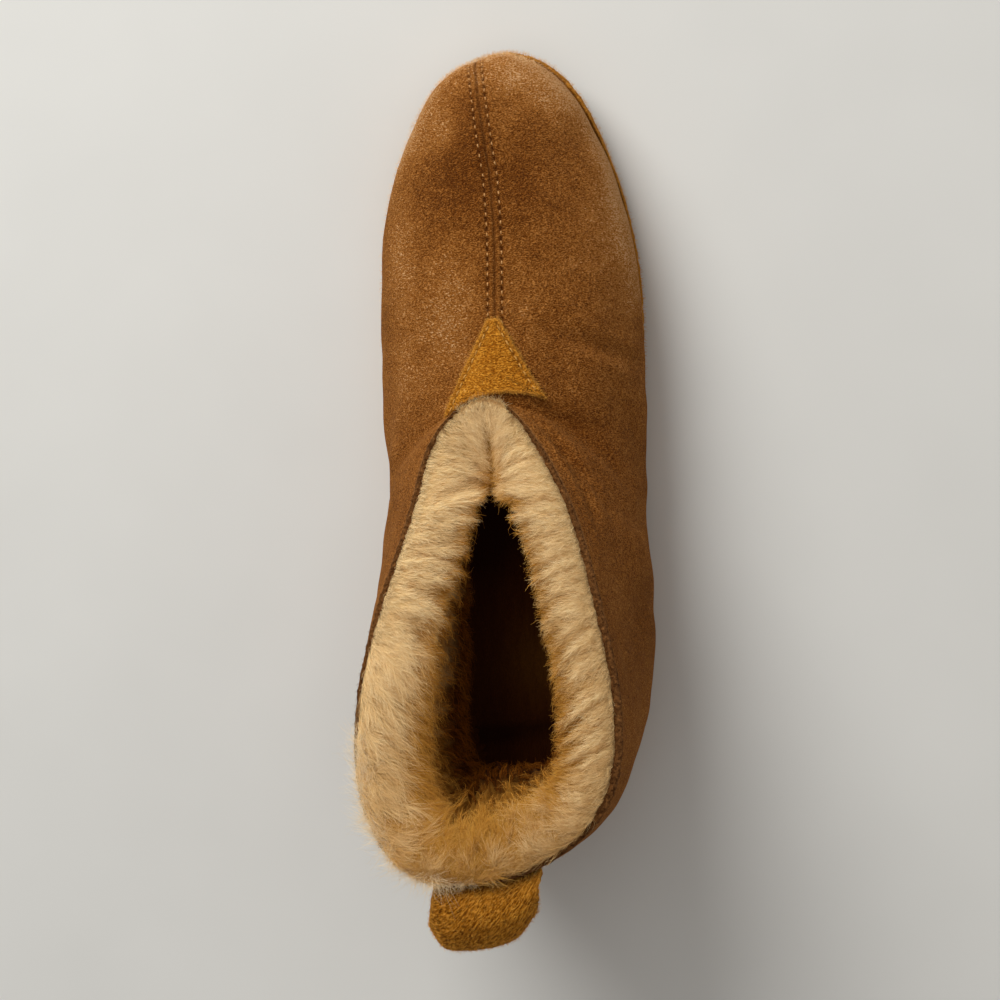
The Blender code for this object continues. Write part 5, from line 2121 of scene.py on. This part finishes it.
# %% [markdown]
# ## The studio
#
# The slipper stands on a pale sheet. One large soft light stands beyond its toe, off to the lateral side,
# as a window would. A weak warm reflector opposite and a soft light from the ceiling fill the shadows.
# The camera looks down from a little to the medial side. Spots for it are given in the slipper's own
# millimetres.

# %% Camera
CAMERA_SPOT = (118.9, 89.6, 850.0)
LOOK_SPOT = (119.0, -4.5, 42.0)
CAMERA_ROLL = -2.0
LENS = 87.84
SENSOR = 36.0

camera_data = bpy.data.cameras.new("camera")
camera_data.lens = LENS
camera_data.sensor_width = SENSOR
camera = bpy.data.objects.new("camera", camera_data)
bpy.context.scene.collection.objects.link(camera)
spot, target = (Vector(in_frame(p)) for p in (CAMERA_SPOT, LOOK_SPOT))
back = (spot - target).normalized()
up = Vector((0, -1, 0))
side = up.cross(back).normalized()
up = back.cross(side)
aim = Matrix((side, up, back)).transposed() @ Matrix.Rotation(np.radians(CAMERA_ROLL), 3, "Z")
camera.matrix_world = Matrix.Translation(spot) @ aim.to_4x4()
bpy.context.scene.camera = camera
print("camera", round((spot - target).length, 2), "m away, with a lens of", LENS, "mm")

# %% Floor
FLOOR_SIZE = 12
FLOOR_GAP = 0.3 * MM
floor_finish = Finish("pale paper", roughness=0.75, specular_ior_level=0.2)
paper = floor_finish.noise(60, 2)
paper_colour = floor_finish.ramp(paper, (0.2, (0.70, 0.70, 0.675)), (0.8, (0.73, 0.73, 0.705)))
floor_finish.use("Base Color", paper_colour)
bpy.ops.mesh.primitive_plane_add(size=FLOOR_SIZE, location=(0, 0, -FLOOR_GAP))
floor = bpy.context.object
floor.name = "floor"
wear(floor, floor_finish)
floor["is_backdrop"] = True
print("floor", FLOOR_SIZE, "m wide")

# %% Lights
SHOE_MIDDLE = (0.0, -0.09, 0.03)
ROOM_COLOUR = (1.0, 0.965, 0.93)
ROOM_LIGHT = 0.19


def soft_light(name, place, size, power, colour):
    """A round lamp that looks at the slipper's middle. Places and sizes are in metres."""
    light = bpy.data.lights.new(name, "AREA")
    light.shape = "DISK"
    light.size = size
    light.energy = power
    light.color = colour
    lamp = bpy.data.objects.new(name, light)
    lamp.location = place
    lamp.rotation_euler = (Vector(place) - Vector(SHOE_MIDDLE)).to_track_quat("Z", "Y").to_euler()
    bpy.context.scene.collection.objects.link(lamp)


soft_light("window", (0.60, -1.08, 0.98), size=1.05, power=20, colour=(1.0, 0.99, 0.965))
soft_light("reflector", (-0.75, -0.25, 0.45), size=0.7, power=0.4, colour=(1.0, 0.88, 0.74))
soft_light("ceiling", (0.1, -0.2, 2.0), size=2.2, power=9, colour=(1.0, 0.97, 0.94))
world = bpy.data.worlds.new("room")
world.use_nodes = True
background = world.node_tree.nodes["Background"]
background.inputs["Color"].default_value = (*ROOM_COLOUR, 1)
background.inputs["Strength"].default_value = ROOM_LIGHT
bpy.context.scene.world = world
bpy.context.scene.view_settings.view_transform = "Standard"
print("light of the room itself:", ROOM_LIGHT)

# %% Sizes and the end
shown_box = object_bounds()
growth = [round(1000 * (b - a), 1) for a, b in zip(cad_box[1] - cad_box[0], shown_box[1] - shown_box[0])]
print("the shown slipper is larger by", growth, "mm")
